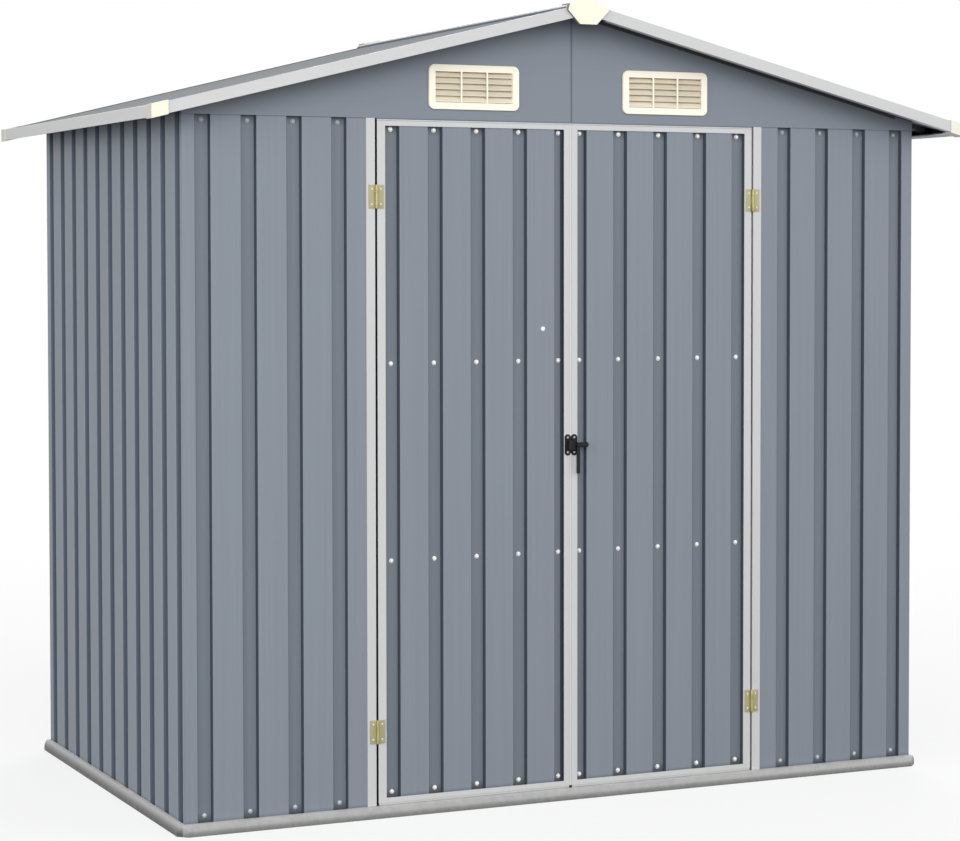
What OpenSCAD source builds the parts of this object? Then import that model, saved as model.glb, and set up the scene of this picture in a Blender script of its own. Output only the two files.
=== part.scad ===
// Metal storage shed with a low gabled roof and a pair of doors that swing outwards.
// The origin is on the ground under the middle of the roof, and the doors face -Y.

/* [Walls] */
// Width across the outer faces of the side walls
wall_w = 1800; // [1600:10:2400]
// Depth across the outer faces of the front and rear walls
wall_d = 1090; // [900:10:1800]
// Height of the gable's lower edge above the ground
wall_h = 1516; // [1450:1:1900]
// Thickness of the steel sheets, rails and trims
sheet_t = 1.2; // [0.8:0.1:1.6]
// Spacing of the grooves that are pressed into the sheets
rib_pitch = 101.4; // [90:0.1:130]
// Width of a groove at the sheet's outer face
groove_w = 35; // [24:0.5:40]
// Depth of a groove
groove_depth = 10; // [6:0.5:13]
// Run of a groove's sloping side
groove_run = 3; // [1:0.5:8]
// Distance from a corner of the shed to the first groove of the front and rear walls
front_first = 45.7; // [36:0.1:60]
// Distance from a front corner to the first groove of the side walls
side_first = 30.3; // [26:0.1:60]
// Gap between pieces that lie side by side without being joined there
seat_gap = 0.3; // [0.2:0.1:0.5]
// Gap between the roof sheets and what lies on or under them
lap_gap = 0.1; // [0.05:0.05:0.3]

/* [Base rail] */
// Height of the rail's rounded outer face
rail_h = 25; // [20:1:40]
// Reach of the rail beyond the wall
rail_out = 17; // [12:1:19]
// Height of the lip behind the wall sheets
rail_lip = 20; // [10:1:24]
// Cut across the outer corners where two rails meet
rail_cut = 20; // [8:1:30]

/* [Top rails] */
// Width of the flange of the front and rear top rails
top_flange = 20; // [12:1:30]
// Width of the sloping flange of the side top rails
plate_flange = 25; // [15:1:40]
// Height of the upright of the side top rails
plate_h = 30; // [20:1:50]

/* [Roof] */
// Slope of the roof in degrees
roof_pitch = 14; // [10:0.5:20]
// Overhang of the roof beyond the side walls
side_overhang = 88; // [60:1:140]
// Overhang of the roof beyond the front and rear walls
end_overhang = 85; // [75:1:140]
// Drop of the eave trim's lower edge below the gable's lower edge
eave_drop = 13.5; // [5:0.5:14]
// Height of the trims along the edges of the roof
trim_h = 25.5; // [22:0.5:40]
// Width of the flange with which a trim laps over the roof
trim_lap = 20; // [12:1:30]
// Width of the lip under a trim
trim_lip = 18; // [6:1:18]
// Distance from the ridge to the upper end of a roof sheet
ridge_gap = 8; // [5:1:15]
// Half of the width of the ridge cap
ridge_half = 50; // [40:1:80]
// Height of the ridge cap above the roof sheets
ridge_rise = 8; // [4:1:15]
// Half of the width of the ridge beam
beam_half = 30; // [20:1:45]
// Height of the sides of the ridge beam
beam_h = 25; // [15:1:50]

/* [Roof caps] */
// Thickness of the plastic caps
cap_wall = 2; // [1.5:0.1:3]
// Clearance between a cap and what it covers
cap_fit = 0.2; // [0.1:0.05:0.4]
// Length of a corner cap along each edge of the roof
cap_leg = 34.5; // [30:0.5:60]
// Half of the width of the apex cap where it is widest
apex_half = 51; // [45:1:70]
// Half of the width of the apex cap over the ridge
apex_hood_half = 46; // [20:1:49]
// Half of the width of the apex cap at its foot
apex_foot_half = 21; // [12:1:35]
// Height of the apex cap below the trims' peak
apex_drop = 48; // [40:1:70]
// Height of the apex cap's widest part below the top of the trims
apex_waist = 4; // [0:0.5:8]
// Thickness of the apex cap's face
apex_t = 6; // [4:0.5:8]
// Share of its outline that the apex cap's face keeps at the front
apex_taper = 0.97; // [0.7:0.01:0.98]

/* [Vents] */
// Width of a gable vent
vent_w = 214.5; // [150:0.5:240]
// Height of a gable vent
vent_h = 97; // [70:1:100]
// Distance from the middle of the gable to the middle of a vent
vent_x = 236; // [140:1:300]
// Height of a vent above the gable's lower edge
vent_lift = 22.5; // [15:0.5:40]
// Width of a vent's border
vent_border = 15; // [10:0.5:20]
// Radius of a vent's corners
vent_r = 13; // [4:0.5:14]
// Thickness of a vent's border
vent_t = 5; // [2:0.5:6]
// Depth of a vent's collar behind the gable
vent_collar = 8; // [5:0.5:15]
// Thickness of a vent's collar and blades
vent_wall = 1.6; // [1.2:0.1:2.5]
// Number of blades in a vent
vent_blades = 5; // [3:1:7]
// Slope of the blades in degrees
blade_angle = 50; // [30:1:52]
// Width of an upright bar in a vent
vent_bar = 4; // [2:0.5:8]
// Number of upright bars in a vent
vent_bars = 2; // [1:1:3]

/* [Doorway and doors] */
// Width of the doorway between its jambs
doorway_w = 936; // [800:2:1100]
// Width of a jamb's face
jamb_w = 20.5; // [15:0.5:30]
// Depth of a jamb
jamb_depth = 25; // [20:1:40]
// Gap around and between the doors
door_gap = 5; // [5:0.5:8]
// Width of a hinge stile's face
stile_w = 18.5; // [18:0.5:30]
// Width of a meeting stile's face
meet_w = 14; // [14:0.5:25]
// Height of the face of a door's top and bottom rails
door_rail = 11; // [10:0.5:30]
// Distance from a door's hinge edge to its first groove
door_first = 34.7; // [30:0.1:45]
// Height of the middle of the lower brace
low_brace_z = 557; // [400:1:650]
// Height of the middle of the upper brace
high_brace_z = 984; // [850:1:1150]
// Height of a brace
brace_h = 30; // [20:1:50]
// Depth of a brace
brace_d = 6.5; // [5:0.5:12]

/* [Hinges] */
// Height of the middle of the lower hinges
low_hinge_z = 187; // [120:1:350]
// Height of the middle of the upper hinges
high_hinge_z = 1347; // [1200:1:1400]
// Height of a hinge
hinge_h = 51; // [40:1:80]
// Width of a hinge leaf from the middle of the pin
leaf_w = 17.5; // [14:0.5:20]
// Thickness of a hinge leaf
leaf_t = 1.5; // [1:0.1:2.5]
// Diameter of a hinge knuckle
knuckle_d = 7; // [6:0.5:9]
// Diameter of a hinge pin
pin_d = 4; // [3:0.5:5]
// Radial clearance of a pin in its bore
pin_clear = 0.1; // [0.05:0.05:0.2]
// Gap between neighbouring knuckles, and round a knuckle
knuckle_gap = 0.5; // [0.3:0.1:0.8]

/* [Latch] */
// Height of the middle of the latch
latch_z = 797; // [700:1:900]
// Thickness of the latch plates
latch_t = 2; // [1.5:0.1:3]
// Distance from the middle of the doors to a plate's screw
screw_x = 8; // [7:0.1:10]
// Distance from the middle of the latch up or down to a plate's screw
screw_z = 16.6; // [14:0.1:22]
// Diameter of the lobe round a screw
lobe_d = 14.5; // [12:0.5:18]
// Width of a plate beyond its screws, between the lobes
plate_waist = 5; // [3:0.5:7]
// Diameter of the barrel between the screws
barrel_d = 18; // [16:0.5:22]
// Height of the barrel
barrel_h = 22; // [18:1:28]
// Distance of the handle's rod in front of the doors
rod_out = 10.5; // [9:0.5:14]
// Diameter of the handle's rod
rod_d = 11; // [7:0.5:12]
// Distance from the middle of the doors to the middle of the knob
knob_x = 33; // [30:1:50]
// Diameter of the knob
knob_d = 12; // [10:0.5:16]
// Diameter of the pin on which the handle turns
turn_pin_d = 5; // [4:0.5:6]
// Length of that pin
turn_pin_l = 4; // [3:0.5:5]
// Distance from the middle of the doors to the near side of the lever
lever_x = 10; // [10:0.5:16]
// Width of the lever
lever_w = 7.5; // [5:0.5:12]
// Thickness of the lever
lever_t = 4; // [3:0.5:6]
// Length of the lever below its rod
lever_l = 64; // [50:1:90]

/* [Hidden] */

$fn = 64;

WALL_BLUE_GREY = [0.48, 0.52, 0.57];
TRIM_GREY = [0.82, 0.82, 0.83];
RAIL_GREY = [0.68, 0.69, 0.68];
ZINC = [0.62, 0.63, 0.64];
CREAM = [0.98, 0.97, 0.90];
HINGE_YELLOW = [0.70, 0.66, 0.42];
LATCH_BLACK = [0.13, 0.13, 0.14];

half_w = wall_w / 2;
half_d = wall_d / 2;
sheet_depth = groove_depth + sheet_t;
// Plane of the faces that lap over the wall sheets, in front of the front wall
lap_y = -half_d - sheet_t;

// Roof lines, all measured upwards at a distance x from the ridge
roof_half = half_w + side_overhang;
roof_end = half_d + end_overhang;
eave_z = wall_h - eave_drop;
skin_v = sheet_t / cos(roof_pitch);
function trim_foot(x) = eave_z + (roof_half - abs(x)) * tan(roof_pitch);
function trim_top(x) = trim_foot(x) + trim_h;
function lap_foot(x) = trim_top(x) - skin_v;
function roof_top(x) = lap_foot(x) - lap_gap;
function roof_under(x) = roof_top(x) - sheet_depth / cos(roof_pitch);
function bearing(x) = roof_under(x) - lap_gap;
function ridge_top(x) = lap_foot(x) + ridge_rise;

wall_top = roof_under(half_w) - seat_gap;

// Shift of a bend's inner corner that keeps the sheet's thickness the same round a groove
bend_shift = sheet_t * (norm([groove_run, groove_depth]) - groove_run) / groove_depth;

// Number of grooves on a sheet of a given length
function groove_count(len, first) =
    floor((len - first - groove_w / 2 - bend_shift - seat_gap) / rib_pitch) + 1;

// Corners of one groove: shift moves them to the sheet's back, deep is the depth of its flats
function groove_corners(mid, shift, deep) = [
    [mid - groove_w / 2 - shift, deep],
    [mid - groove_w / 2 + groove_run - shift, deep + groove_depth],
    [mid + groove_w / 2 - groove_run + shift, deep + groove_depth],
    [mid + groove_w / 2 + shift, deep]
];

// Outline of a grooved sheet as [distance along it, depth behind its outer face]
function sheet_outline(len, first) =
    let (
        mids = [for (i = [0 : groove_count(len, first) - 1]) first + i * rib_pitch],
        outer = [for (mid = mids) each groove_corners(mid, 0, 0)],
        inner = [for (mid = mids) each groove_corners(mid, bend_shift, sheet_t)],
        last = len(inner) - 1
    )
    concat(
        [[0, 0]], outer, [[len, 0], [len, sheet_t]],
        [for (i = [0 : last]) inner[last - i]], [[0, sheet_t]]
    );

// Upright grooved sheet that starts at the origin and runs along +X, with its back towards +Y
module wall_sheet(len, first, height) {
    linear_extrude(height) polygon(sheet_outline(len, first));
}

// Extrudes an outline drawn in X and Z along Y, from y0 to y1
module along_y(y0, y1) {
    translate([0, y1, 0]) rotate([90, 0, 0]) linear_extrude(y1 - y0) children();
}

// Extrudes an outline drawn in Y and Z along X, from x0 to x1
module along_x(x0, x1) {
    translate([x0, 0, 0]) rotate([90, 0, 90]) linear_extrude(x1 - x0) children();
}

// Repeats what is drawn on the left on the right as well
module both_sides() {
    children();
    mirror([1, 0, 0]) children();
}

// Repeats what is drawn at the front at the rear as well
module both_ends() {
    children();
    mirror([0, 1, 0]) children();
}

// Channel section, face wide and depth deep, open towards -X
module channel_section(face, depth) {
    difference() {
        square([face, depth]);
        translate([-sheet_t, sheet_t]) square([face, depth - 2 * sheet_t]);
    }
}

// Base rails

nose_z = rail_h - rail_out;

// Outline of the rail's rounded nose: X runs inwards from the wall's outer face, Y upwards
module rail_nose() {
    intersection() {
        translate([0, nose_z]) circle(rail_out);
        translate([-rail_out, nose_z]) square(rail_out);
    }
    translate([-rail_out, 0]) square([rail_out, nose_z]);
}

// Section of the base rail: a hollow nose, and a lip behind the wall sheets
module rail_section() {
    lip_x = sheet_depth + seat_gap;
    difference() {
        rail_nose();
        intersection() {
            translate([0, nose_z]) circle(rail_out - sheet_t);
            translate([-rail_out, nose_z]) square([rail_out - sheet_t, rail_out]);
        }
        translate([sheet_t - rail_out, sheet_t])
            square([rail_out - 2 * sheet_t, nose_z]);
    }
    square([lip_x + sheet_t, sheet_t]);
    translate([lip_x, 0]) square([sheet_t, rail_lip]);
}

// Rail along a wall of the given half length, whose outer face is at y = -reach. Its ends are mitred,
// and the tips of the mitres are cut off and closed by a plate.
module base_rail(half_len, reach) {
    inner = sheet_depth + seat_gap + sheet_t;
    tip_x = half_len + rail_out;
    tip_y = reach + rail_out;
    // Cut that the plate's back would make, so that the plate is as thick as the sheet
    back_cut = rail_cut + sheet_t * sqrt(2);
    intersection() {
        translate([0, -reach, 0]) along_x(-tip_x, tip_x) rail_section();
        linear_extrude(rail_h + sheet_t) polygon([
            [-tip_x + rail_cut, -tip_y],
            [tip_x - rail_cut, -tip_y],
            [tip_x - rail_cut / 2, -tip_y + rail_cut / 2],
            [half_len - inner, -reach + inner],
            [-half_len + inner, -reach + inner],
            [-tip_x + rail_cut / 2, -tip_y + rail_cut / 2]
        ]);
    }
    both_sides() intersection() {
        translate([0, -reach, 0]) along_x(-tip_x, 0) rail_nose();
        linear_extrude(rail_h) polygon([
            [-tip_x + rail_cut, -tip_y],
            [-tip_x + back_cut, -tip_y],
            [-tip_x + back_cut / 2, -tip_y + back_cut / 2],
            [-tip_x + rail_cut / 2, -tip_y + rail_cut / 2]
        ]);
    }
}

module base_front() {
    color(RAIL_GREY) base_rail(half_w, half_d);
}

module base_rear() {
    color(RAIL_GREY) mirror([0, 1, 0]) base_rail(half_w, half_d);
}

module base_left() {
    color(RAIL_GREY) rotate([0, 0, -90]) base_rail(half_d, half_w);
}

module base_right() {
    color(RAIL_GREY) rotate([0, 0, 90]) base_rail(half_d, half_w);
}

// Wall sheets

wall_sheet_h = wall_top - sheet_t;
front_sheet_len = half_w - doorway_w / 2 - sheet_t - seat_gap;
rear_sheet_len = half_w - seat_gap / 2;
side_sheet_len = wall_d - 2 * sheet_t;

module front_sheet() {
    translate([-half_w, -half_d, sheet_t])
        wall_sheet(front_sheet_len, front_first, wall_sheet_h);
}

module rear_sheet() {
    mirror([0, 1, 0]) translate([-half_w, -half_d, sheet_t])
        wall_sheet(rear_sheet_len, front_first, wall_sheet_h);
}

module side_sheet() {
    translate([-half_w, sheet_t - half_d, sheet_t]) mirror([1, -1, 0])
        wall_sheet(side_sheet_len, side_first - sheet_t, wall_sheet_h);
}

module front_wall_left() {
    color(WALL_BLUE_GREY) front_sheet();
}

module front_wall_right() {
    color(WALL_BLUE_GREY) mirror([1, 0, 0]) front_sheet();
}

module rear_wall_left() {
    color(WALL_BLUE_GREY) rear_sheet();
}

module rear_wall_right() {
    color(WALL_BLUE_GREY) mirror([1, 0, 0]) rear_sheet();
}

module left_wall() {
    color(WALL_BLUE_GREY) side_sheet();
}

module right_wall() {
    color(WALL_BLUE_GREY) mirror([1, 0, 0]) side_sheet();
}

// Top rails

top_rail_half = half_w - sheet_depth - seat_gap;
top_rail_y = sheet_depth - half_d;

module top_rail() {
    along_x(-top_rail_half, top_rail_half) {
        translate([top_rail_y, wall_h]) square([sheet_t, wall_top - wall_h]);
        translate([top_rail_y, wall_h]) square([top_flange, sheet_t]);
    }
}

module top_rail_front() {
    color(ZINC) top_rail();
}

module top_rail_rear() {
    color(ZINC) mirror([0, 1, 0]) top_rail();
}

module side_top_rails() {
    outer = half_w - sheet_depth;
    inner = outer - plate_flange;
    reach = -top_rail_y - top_flange - seat_gap;
    foot = bearing(outer) - plate_h;
    color(ZINC) both_sides() along_y(-reach, reach) polygon([
        [-outer, foot],
        [-outer, bearing(outer)],
        [-inner, bearing(inner)],
        [-inner, bearing(inner) - skin_v],
        [sheet_t - outer, bearing(outer - sheet_t) - skin_v],
        [sheet_t - outer, foot]
    ]);
}

module ridge_beam() {
    inner = beam_half - sheet_t;
    foot = bearing(beam_half) - beam_h;
    color(ZINC) along_y(-half_d, half_d) polygon([
        [-beam_half, foot],
        [-beam_half, bearing(beam_half)],
        [0, bearing(0)],
        [beam_half, bearing(beam_half)],
        [beam_half, foot],
        [inner, foot],
        [inner, bearing(inner) - skin_v],
        [0, bearing(0) - skin_v],
        [-inner, bearing(inner) - skin_v],
        [-inner, foot]
    ]);
}

// Gables and vents

vent_z = wall_h + vent_lift + vent_h / 2;
vent_open_w = vent_w - 2 * vent_border;
vent_open_h = vent_h - 2 * vent_border;

// Rectangle with round corners, centred on the origin
module round_rect(w, h, r) {
    square([w - 2 * r, h], center = true);
    square([w, h - 2 * r], center = true);
    for (x = [-1, 1], y = [-1, 1])
        translate([x * (w / 2 - r), y * (h / 2 - r)]) circle(r);
}

module gable() {
    hole = 2 * (vent_wall + seat_gap);
    peak_x = -seat_gap / 2;
    along_y(lap_y, -half_d) difference() {
        polygon([
            [-half_w, wall_h],
            [peak_x, wall_h],
            [peak_x, roof_under(peak_x) - seat_gap],
            [-half_w, wall_top]
        ]);
        translate([-vent_x, vent_z])
            square([vent_open_w + hole, vent_open_h + hole], center = true);
    }
}

module gable_front_left() {
    color(WALL_BLUE_GREY) gable();
}

module gable_front_right() {
    color(WALL_BLUE_GREY) mirror([1, 0, 0]) gable();
}

module gable_rear_left() {
    color(WALL_BLUE_GREY) mirror([0, 1, 0]) gable();
}

module gable_rear_right() {
    color(WALL_BLUE_GREY) rotate([0, 0, 180]) gable();
}

// Louvred vent: a round-cornered border, a collar through the gable, sloping blades and upright bars
module vent() {
    face_y = lap_y - vent_t;
    back_y = -half_d + vent_collar;
    blade_y = face_y + vent_bar / 2;
    blade_run = back_y - vent_wall - blade_y;
    blade_rise = blade_run * tan(blade_angle);
    blade_v = vent_wall / cos(blade_angle);
    blade_step = (vent_open_h - blade_rise - blade_v - vent_wall) / (vent_blades - 1);
    bar_step = vent_open_w / (vent_bars + 1);
    // Length by which the blades and bars run into the border and the collar
    root = vent_wall / 2;
    translate([-vent_x, 0, vent_z]) {
        along_y(face_y, lap_y) difference() {
            round_rect(vent_w, vent_h, vent_r);
            square([vent_open_w, vent_open_h], center = true);
        }
        along_y(lap_y, back_y) difference() {
            square([vent_open_w + 2 * vent_wall, vent_open_h + 2 * vent_wall], center = true);
            square([vent_open_w, vent_open_h], center = true);
        }
        for (i = [0 : vent_blades - 1])
            translate([0, blade_y, i * blade_step + root - vent_open_h / 2])
                along_x(-vent_open_w / 2 - root, vent_open_w / 2 + root) polygon([
                    [0, 0],
                    [blade_run, blade_rise],
                    [blade_run, blade_rise + blade_v],
                    [0, blade_v]
                ]);
        for (i = [1 : vent_bars])
            translate([i * bar_step - (vent_open_w + vent_bar) / 2, face_y, -vent_open_h / 2 - root])
                cube([vent_bar, vent_bar, vent_open_h + 2 * root]);
    }
}

module front_vents() {
    color(CREAM) both_sides() vent();
}

module rear_vents() {
    color(CREAM) mirror([0, 1, 0]) both_sides() vent();
}

// Roof

roof_sheet_len = 2 * (roof_end - sheet_t - seat_gap);
roof_groove_span = floor(roof_sheet_len / rib_pitch - 1) * rib_pitch;
roof_first = (roof_sheet_len - roof_groove_span) / 2;

// Grooved sheet from the left eave up to the ridge
module roof_sheet() {
    eave_x = roof_half - sheet_t - seat_gap;
    slope_len = (eave_x - ridge_gap) / cos(roof_pitch);
    outline = sheet_outline(roof_sheet_len, roof_first);
    translate([-eave_x, -roof_sheet_len / 2, roof_top(eave_x)]) rotate([0, 90 - roof_pitch, 0])
        linear_extrude(slope_len) polygon([for (p = outline) [p.y, p.x]]);
}

module roof_left() {
    color(WALL_BLUE_GREY) roof_sheet();
}

module roof_right() {
    color(WALL_BLUE_GREY) mirror([1, 0, 0]) roof_sheet();
}

module ridge_cap() {
    inner = ridge_half - sheet_t;
    reach = roof_end - sheet_t - seat_gap;
    color(TRIM_GREY) along_y(-reach, reach) polygon([
        [-ridge_half, lap_foot(ridge_half)],
        [-ridge_half, ridge_top(ridge_half)],
        [0, ridge_top(0)],
        [ridge_half, ridge_top(ridge_half)],
        [ridge_half, lap_foot(ridge_half)],
        [inner, lap_foot(inner)],
        [inner, ridge_top(inner) - skin_v],
        [0, ridge_top(0) - skin_v],
        [-inner, ridge_top(inner) - skin_v],
        [-inner, lap_foot(inner)]
    ]);
}

// Band that follows the roof's slope from x0 to x1, between two heights above the trims' foot
module slope_band(x0, x1, low, high) {
    polygon([
        [x0, trim_foot(x0) + low],
        [x1, trim_foot(x1) + low],
        [x1, trim_foot(x1) + high],
        [x0, trim_foot(x0) + high]
    ]);
}

// Trim along the sloping front edge of the roof's left half
module rake_trim() {
    peak_x = -seat_gap / 2;
    cap_x = -ridge_half - seat_gap;
    along_y(-roof_end, sheet_t - roof_end) slope_band(-roof_half, peak_x, 0, trim_h);
    along_y(-roof_end, trim_lap - roof_end) slope_band(-roof_half, cap_x, trim_h - skin_v, trim_h);
    along_y(-roof_end, trim_lip - roof_end) slope_band(-roof_half, cap_x, 0, skin_v);
}

module front_rake_trims() {
    color(TRIM_GREY) both_sides() rake_trim();
}

module rear_rake_trims() {
    color(TRIM_GREY) mirror([0, 1, 0]) both_sides() rake_trim();
}

// Trim along the left eave, between the sloping trims
module eave_trim() {
    reach = roof_end - trim_lap - seat_gap;
    along_y(-reach, reach) {
        slope_band(-roof_half, sheet_t - roof_half, 0, trim_h);
        slope_band(-roof_half, trim_lap - roof_half, trim_h - skin_v, trim_h);
        slope_band(-roof_half, trim_lip - roof_half, 0, skin_v);
    }
}

module eave_trims() {
    color(TRIM_GREY) both_sides() eave_trim();
}

// Plastic cap that wraps the front left corner of the roof
module corner_cap() {
    shell = cap_fit + cap_wall;
    inner_x = cap_leg - roof_half;
    inner_y = cap_leg - roof_end;
    difference() {
        along_y(-roof_end - shell, inner_y)
            slope_band(-roof_half - shell, inner_x, -shell, trim_h + shell);
        along_y(-roof_end - cap_fit, inner_y + shell)
            slope_band(-roof_half - cap_fit, inner_x + shell, -cap_fit, trim_h + cap_fit);
    }
}

module corner_caps() {
    color(CREAM) both_ends() both_sides() corner_cap();
}

// Keystone-shaped cap over the front end of the ridge, with a face that tapers towards the front
module apex_cap() {
    shell = cap_fit + cap_wall;
    mid = trim_top(0) - apex_drop / 2;
    foot = -apex_drop / 2;
    waist = trim_top(apex_half) - apex_waist - mid;
    hood = ridge_top(apex_hood_half) + shell - mid;
    peak = ridge_top(0) + shell - mid;
    translate([0, -roof_end - cap_fit, mid]) rotate([90, 0, 0])
        linear_extrude(apex_t, scale = apex_taper) polygon([
            [-apex_foot_half, foot],
            [apex_foot_half, foot],
            [apex_half, waist],
            [apex_hood_half, hood],
            [0, peak],
            [-apex_hood_half, hood],
            [-apex_half, waist]
        ]);
    along_y(-roof_end - shell, cap_leg - roof_end) polygon([
        [-apex_hood_half, ridge_top(apex_hood_half) + cap_fit],
        [0, ridge_top(0) + cap_fit],
        [apex_hood_half, ridge_top(apex_hood_half) + cap_fit],
        [apex_hood_half, ridge_top(apex_hood_half) + shell],
        [0, ridge_top(0) + shell],
        [-apex_hood_half, ridge_top(apex_hood_half) + shell]
    ]);
}

module apex_caps() {
    color(CREAM) both_ends() apex_cap();
}

// Doorway

jamb_x = doorway_w / 2;

module door_jambs() {
    color(TRIM_GREY) both_sides()
        translate([-jamb_x - jamb_w, lap_y, rail_h])
            linear_extrude(wall_h - rail_h) channel_section(jamb_w, jamb_depth);
}

// Channel over the doors, between the gable and the front top rail, standing on the jambs
module door_header() {
    half_len = jamb_x + sheet_t;
    depth = sheet_depth - seat_gap;
    height = wall_top - wall_h;
    color(ZINC) translate([0, -half_d, wall_h]) along_x(-half_len, half_len) difference() {
        square([depth, height]);
        translate([sheet_t, sheet_t]) square([depth - 2 * sheet_t, height]);
    }
}

// Doors, drawn on the left and mirrored for the right

door_edge_x = jamb_x - door_gap;
door_meet_x = door_gap / 2;
door_low = rail_h + door_gap;
door_high = wall_h - door_gap;
door_t = sheet_depth + 2 * sheet_t + brace_d;
// Clearance of what lies inside a stile's or rail's channel from the channel's web
web_clear = sheet_t + seat_gap;

module door_panel() {
    len = door_edge_x - door_meet_x - 2 * web_clear;
    translate([web_clear - door_edge_x, -half_d, door_low + web_clear])
        wall_sheet(len, door_first - web_clear, door_high - door_low - 2 * web_clear);
}

module hinge_stile() {
    translate([stile_w - door_edge_x, lap_y, door_low])
        linear_extrude(door_high - door_low) mirror([1, 0]) channel_section(stile_w, door_t);
}

module meeting_stile() {
    translate([-door_meet_x - meet_w, lap_y, door_low])
        linear_extrude(door_high - door_low) channel_section(meet_w, door_t);
}

// Section of a door's bottom rail, open upwards
module door_rail_section() {
    difference() {
        square([door_t, door_rail]);
        translate([sheet_t, sheet_t]) square([door_t - 2 * sheet_t, door_rail]);
    }
}

module door_brace(z) {
    along_x(web_clear - door_edge_x, -door_meet_x - web_clear)
        translate([sheet_depth - half_d, z - brace_h / 2]) difference() {
            square([brace_d, brace_h]);
            translate([sheet_t, sheet_t]) square([brace_d, brace_h - 2 * sheet_t]);
        }
}

module door_rails() {
    x0 = stile_w - door_edge_x;
    x1 = -door_meet_x - meet_w;
    along_x(x0, x1) translate([lap_y, door_low]) door_rail_section();
    along_x(x0, x1) translate([lap_y, door_high]) mirror([0, 1]) door_rail_section();
    door_brace(low_brace_z);
    door_brace(high_brace_z);
}

module left_door_panel() {
    color(WALL_BLUE_GREY) door_panel();
}

module right_door_panel() {
    color(WALL_BLUE_GREY) mirror([1, 0, 0]) door_panel();
}

module left_hinge_stile() {
    color(TRIM_GREY) hinge_stile();
}

module right_hinge_stile() {
    color(TRIM_GREY) mirror([1, 0, 0]) hinge_stile();
}

module left_meeting_stile() {
    color(TRIM_GREY) meeting_stile();
}

module right_meeting_stile() {
    color(TRIM_GREY) mirror([1, 0, 0]) meeting_stile();
}

module left_door_rails() {
    color(TRIM_GREY) door_rails();
}

module right_door_rails() {
    color(TRIM_GREY) mirror([1, 0, 0]) door_rails();
}

// Butt hinges, drawn round the middle of the pin with the doorway towards +X

hinge_x = jamb_x - door_gap / 2;
hinge_y = lap_y - knuckle_d / 2;
knuckle_l = hinge_h / 3;
leaf_clear = knuckle_d / 2 + knuckle_gap;
leaf_y = knuckle_d / 2 - leaf_t;

// Leaf on the jamb, with the two outer knuckles and the pin
module frame_leaf() {
    translate([-leaf_w, leaf_y, -hinge_h / 2]) cube([leaf_w - leaf_clear, leaf_t, hinge_h]);
    for (end = [-1, 1]) translate([0, 0, end * knuckle_l]) {
        cylinder(d = knuckle_d, h = knuckle_l, center = true);
        translate([-leaf_clear, leaf_y, -knuckle_l / 2]) cube([leaf_clear, leaf_t, knuckle_l]);
    }
    cylinder(d = pin_d, h = hinge_h, center = true);
}

// Leaf on the door, with the middle knuckle
module door_leaf() {
    len = knuckle_l - 2 * knuckle_gap;
    difference() {
        union() {
            translate([leaf_clear, leaf_y, -hinge_h / 2])
                cube([leaf_w - leaf_clear, leaf_t, hinge_h]);
            cylinder(d = knuckle_d, h = len, center = true);
            translate([0, leaf_y, -len / 2]) cube([leaf_clear, leaf_t, len]);
        }
        cylinder(d = pin_d + 2 * pin_clear, h = hinge_h, center = true);
    }
}

module hinge_pair() {
    for (z = [low_hinge_z, high_hinge_z]) translate([-hinge_x, hinge_y, z]) children();
}

module left_hinge_frame_leaves() {
    color(HINGE_YELLOW) hinge_pair() frame_leaf();
}

module right_hinge_frame_leaves() {
    color(HINGE_YELLOW) mirror([1, 0, 0]) hinge_pair() frame_leaf();
}

module left_hinge_door_leaves() {
    color(HINGE_YELLOW) hinge_pair() door_leaf();
}

module right_hinge_door_leaves() {
    color(HINGE_YELLOW) mirror([1, 0, 0]) hinge_pair() door_leaf();
}

// Latch on the meeting stiles, drawn round the middle of the doors' face at the latch's height

// Half of the latch on the right door: a lobed plate and half of the upright barrel
module latch_half() {
    intersection() {
        union() {
            along_y(-latch_t, 0) {
                for (z = [-screw_z, screw_z]) translate([screw_x, z]) circle(d = lobe_d);
                translate([0, -screw_z]) square([screw_x + plate_waist, 2 * screw_z]);
            }
            translate([0, -rod_out / 2, 0]) intersection() {
                cylinder(d = barrel_d, h = barrel_h, center = true);
                translate([0, rod_out / 2 - barrel_d, -barrel_h])
                    cube([barrel_d, barrel_d, 2 * barrel_h]);
            }
        }
        translate([door_meet_x, -2 * barrel_d, -2 * screw_z])
            cube([barrel_d, 2 * barrel_d, 4 * screw_z]);
    }
}

module at_latch() {
    translate([0, lap_y, latch_z]) children();
}

module latch_keeper() {
    color(LATCH_BLACK) at_latch() mirror([1, 0, 0]) latch_half();
}

module latch_body() {
    bore_x = lever_x - seat_gap - turn_pin_l - seat_gap;
    color(LATCH_BLACK) at_latch() difference() {
        latch_half();
        translate([bore_x, -rod_out, 0]) rotate([0, 90, 0])
            cylinder(d = turn_pin_d + 2 * pin_clear, h = barrel_d);
    }
}

// Handle: a rod with a knob, the pin on which it turns, and a lever that hangs down
module latch_handle() {
    color(LATCH_BLACK) at_latch() translate([0, -rod_out, 0]) {
        translate([lever_x, 0, 0]) rotate([0, 90, 0]) cylinder(d = rod_d, h = knob_x - lever_x);
        translate([lever_x - turn_pin_l - seat_gap, 0, 0]) rotate([0, 90, 0])
            cylinder(d = turn_pin_d, h = turn_pin_l + seat_gap);
        translate([knob_x, 0, 0]) sphere(d = knob_d);
        translate([lever_x, -lever_t / 2, -lever_l]) cube([lever_w, lever_t, lever_l]);
    }
}

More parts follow.
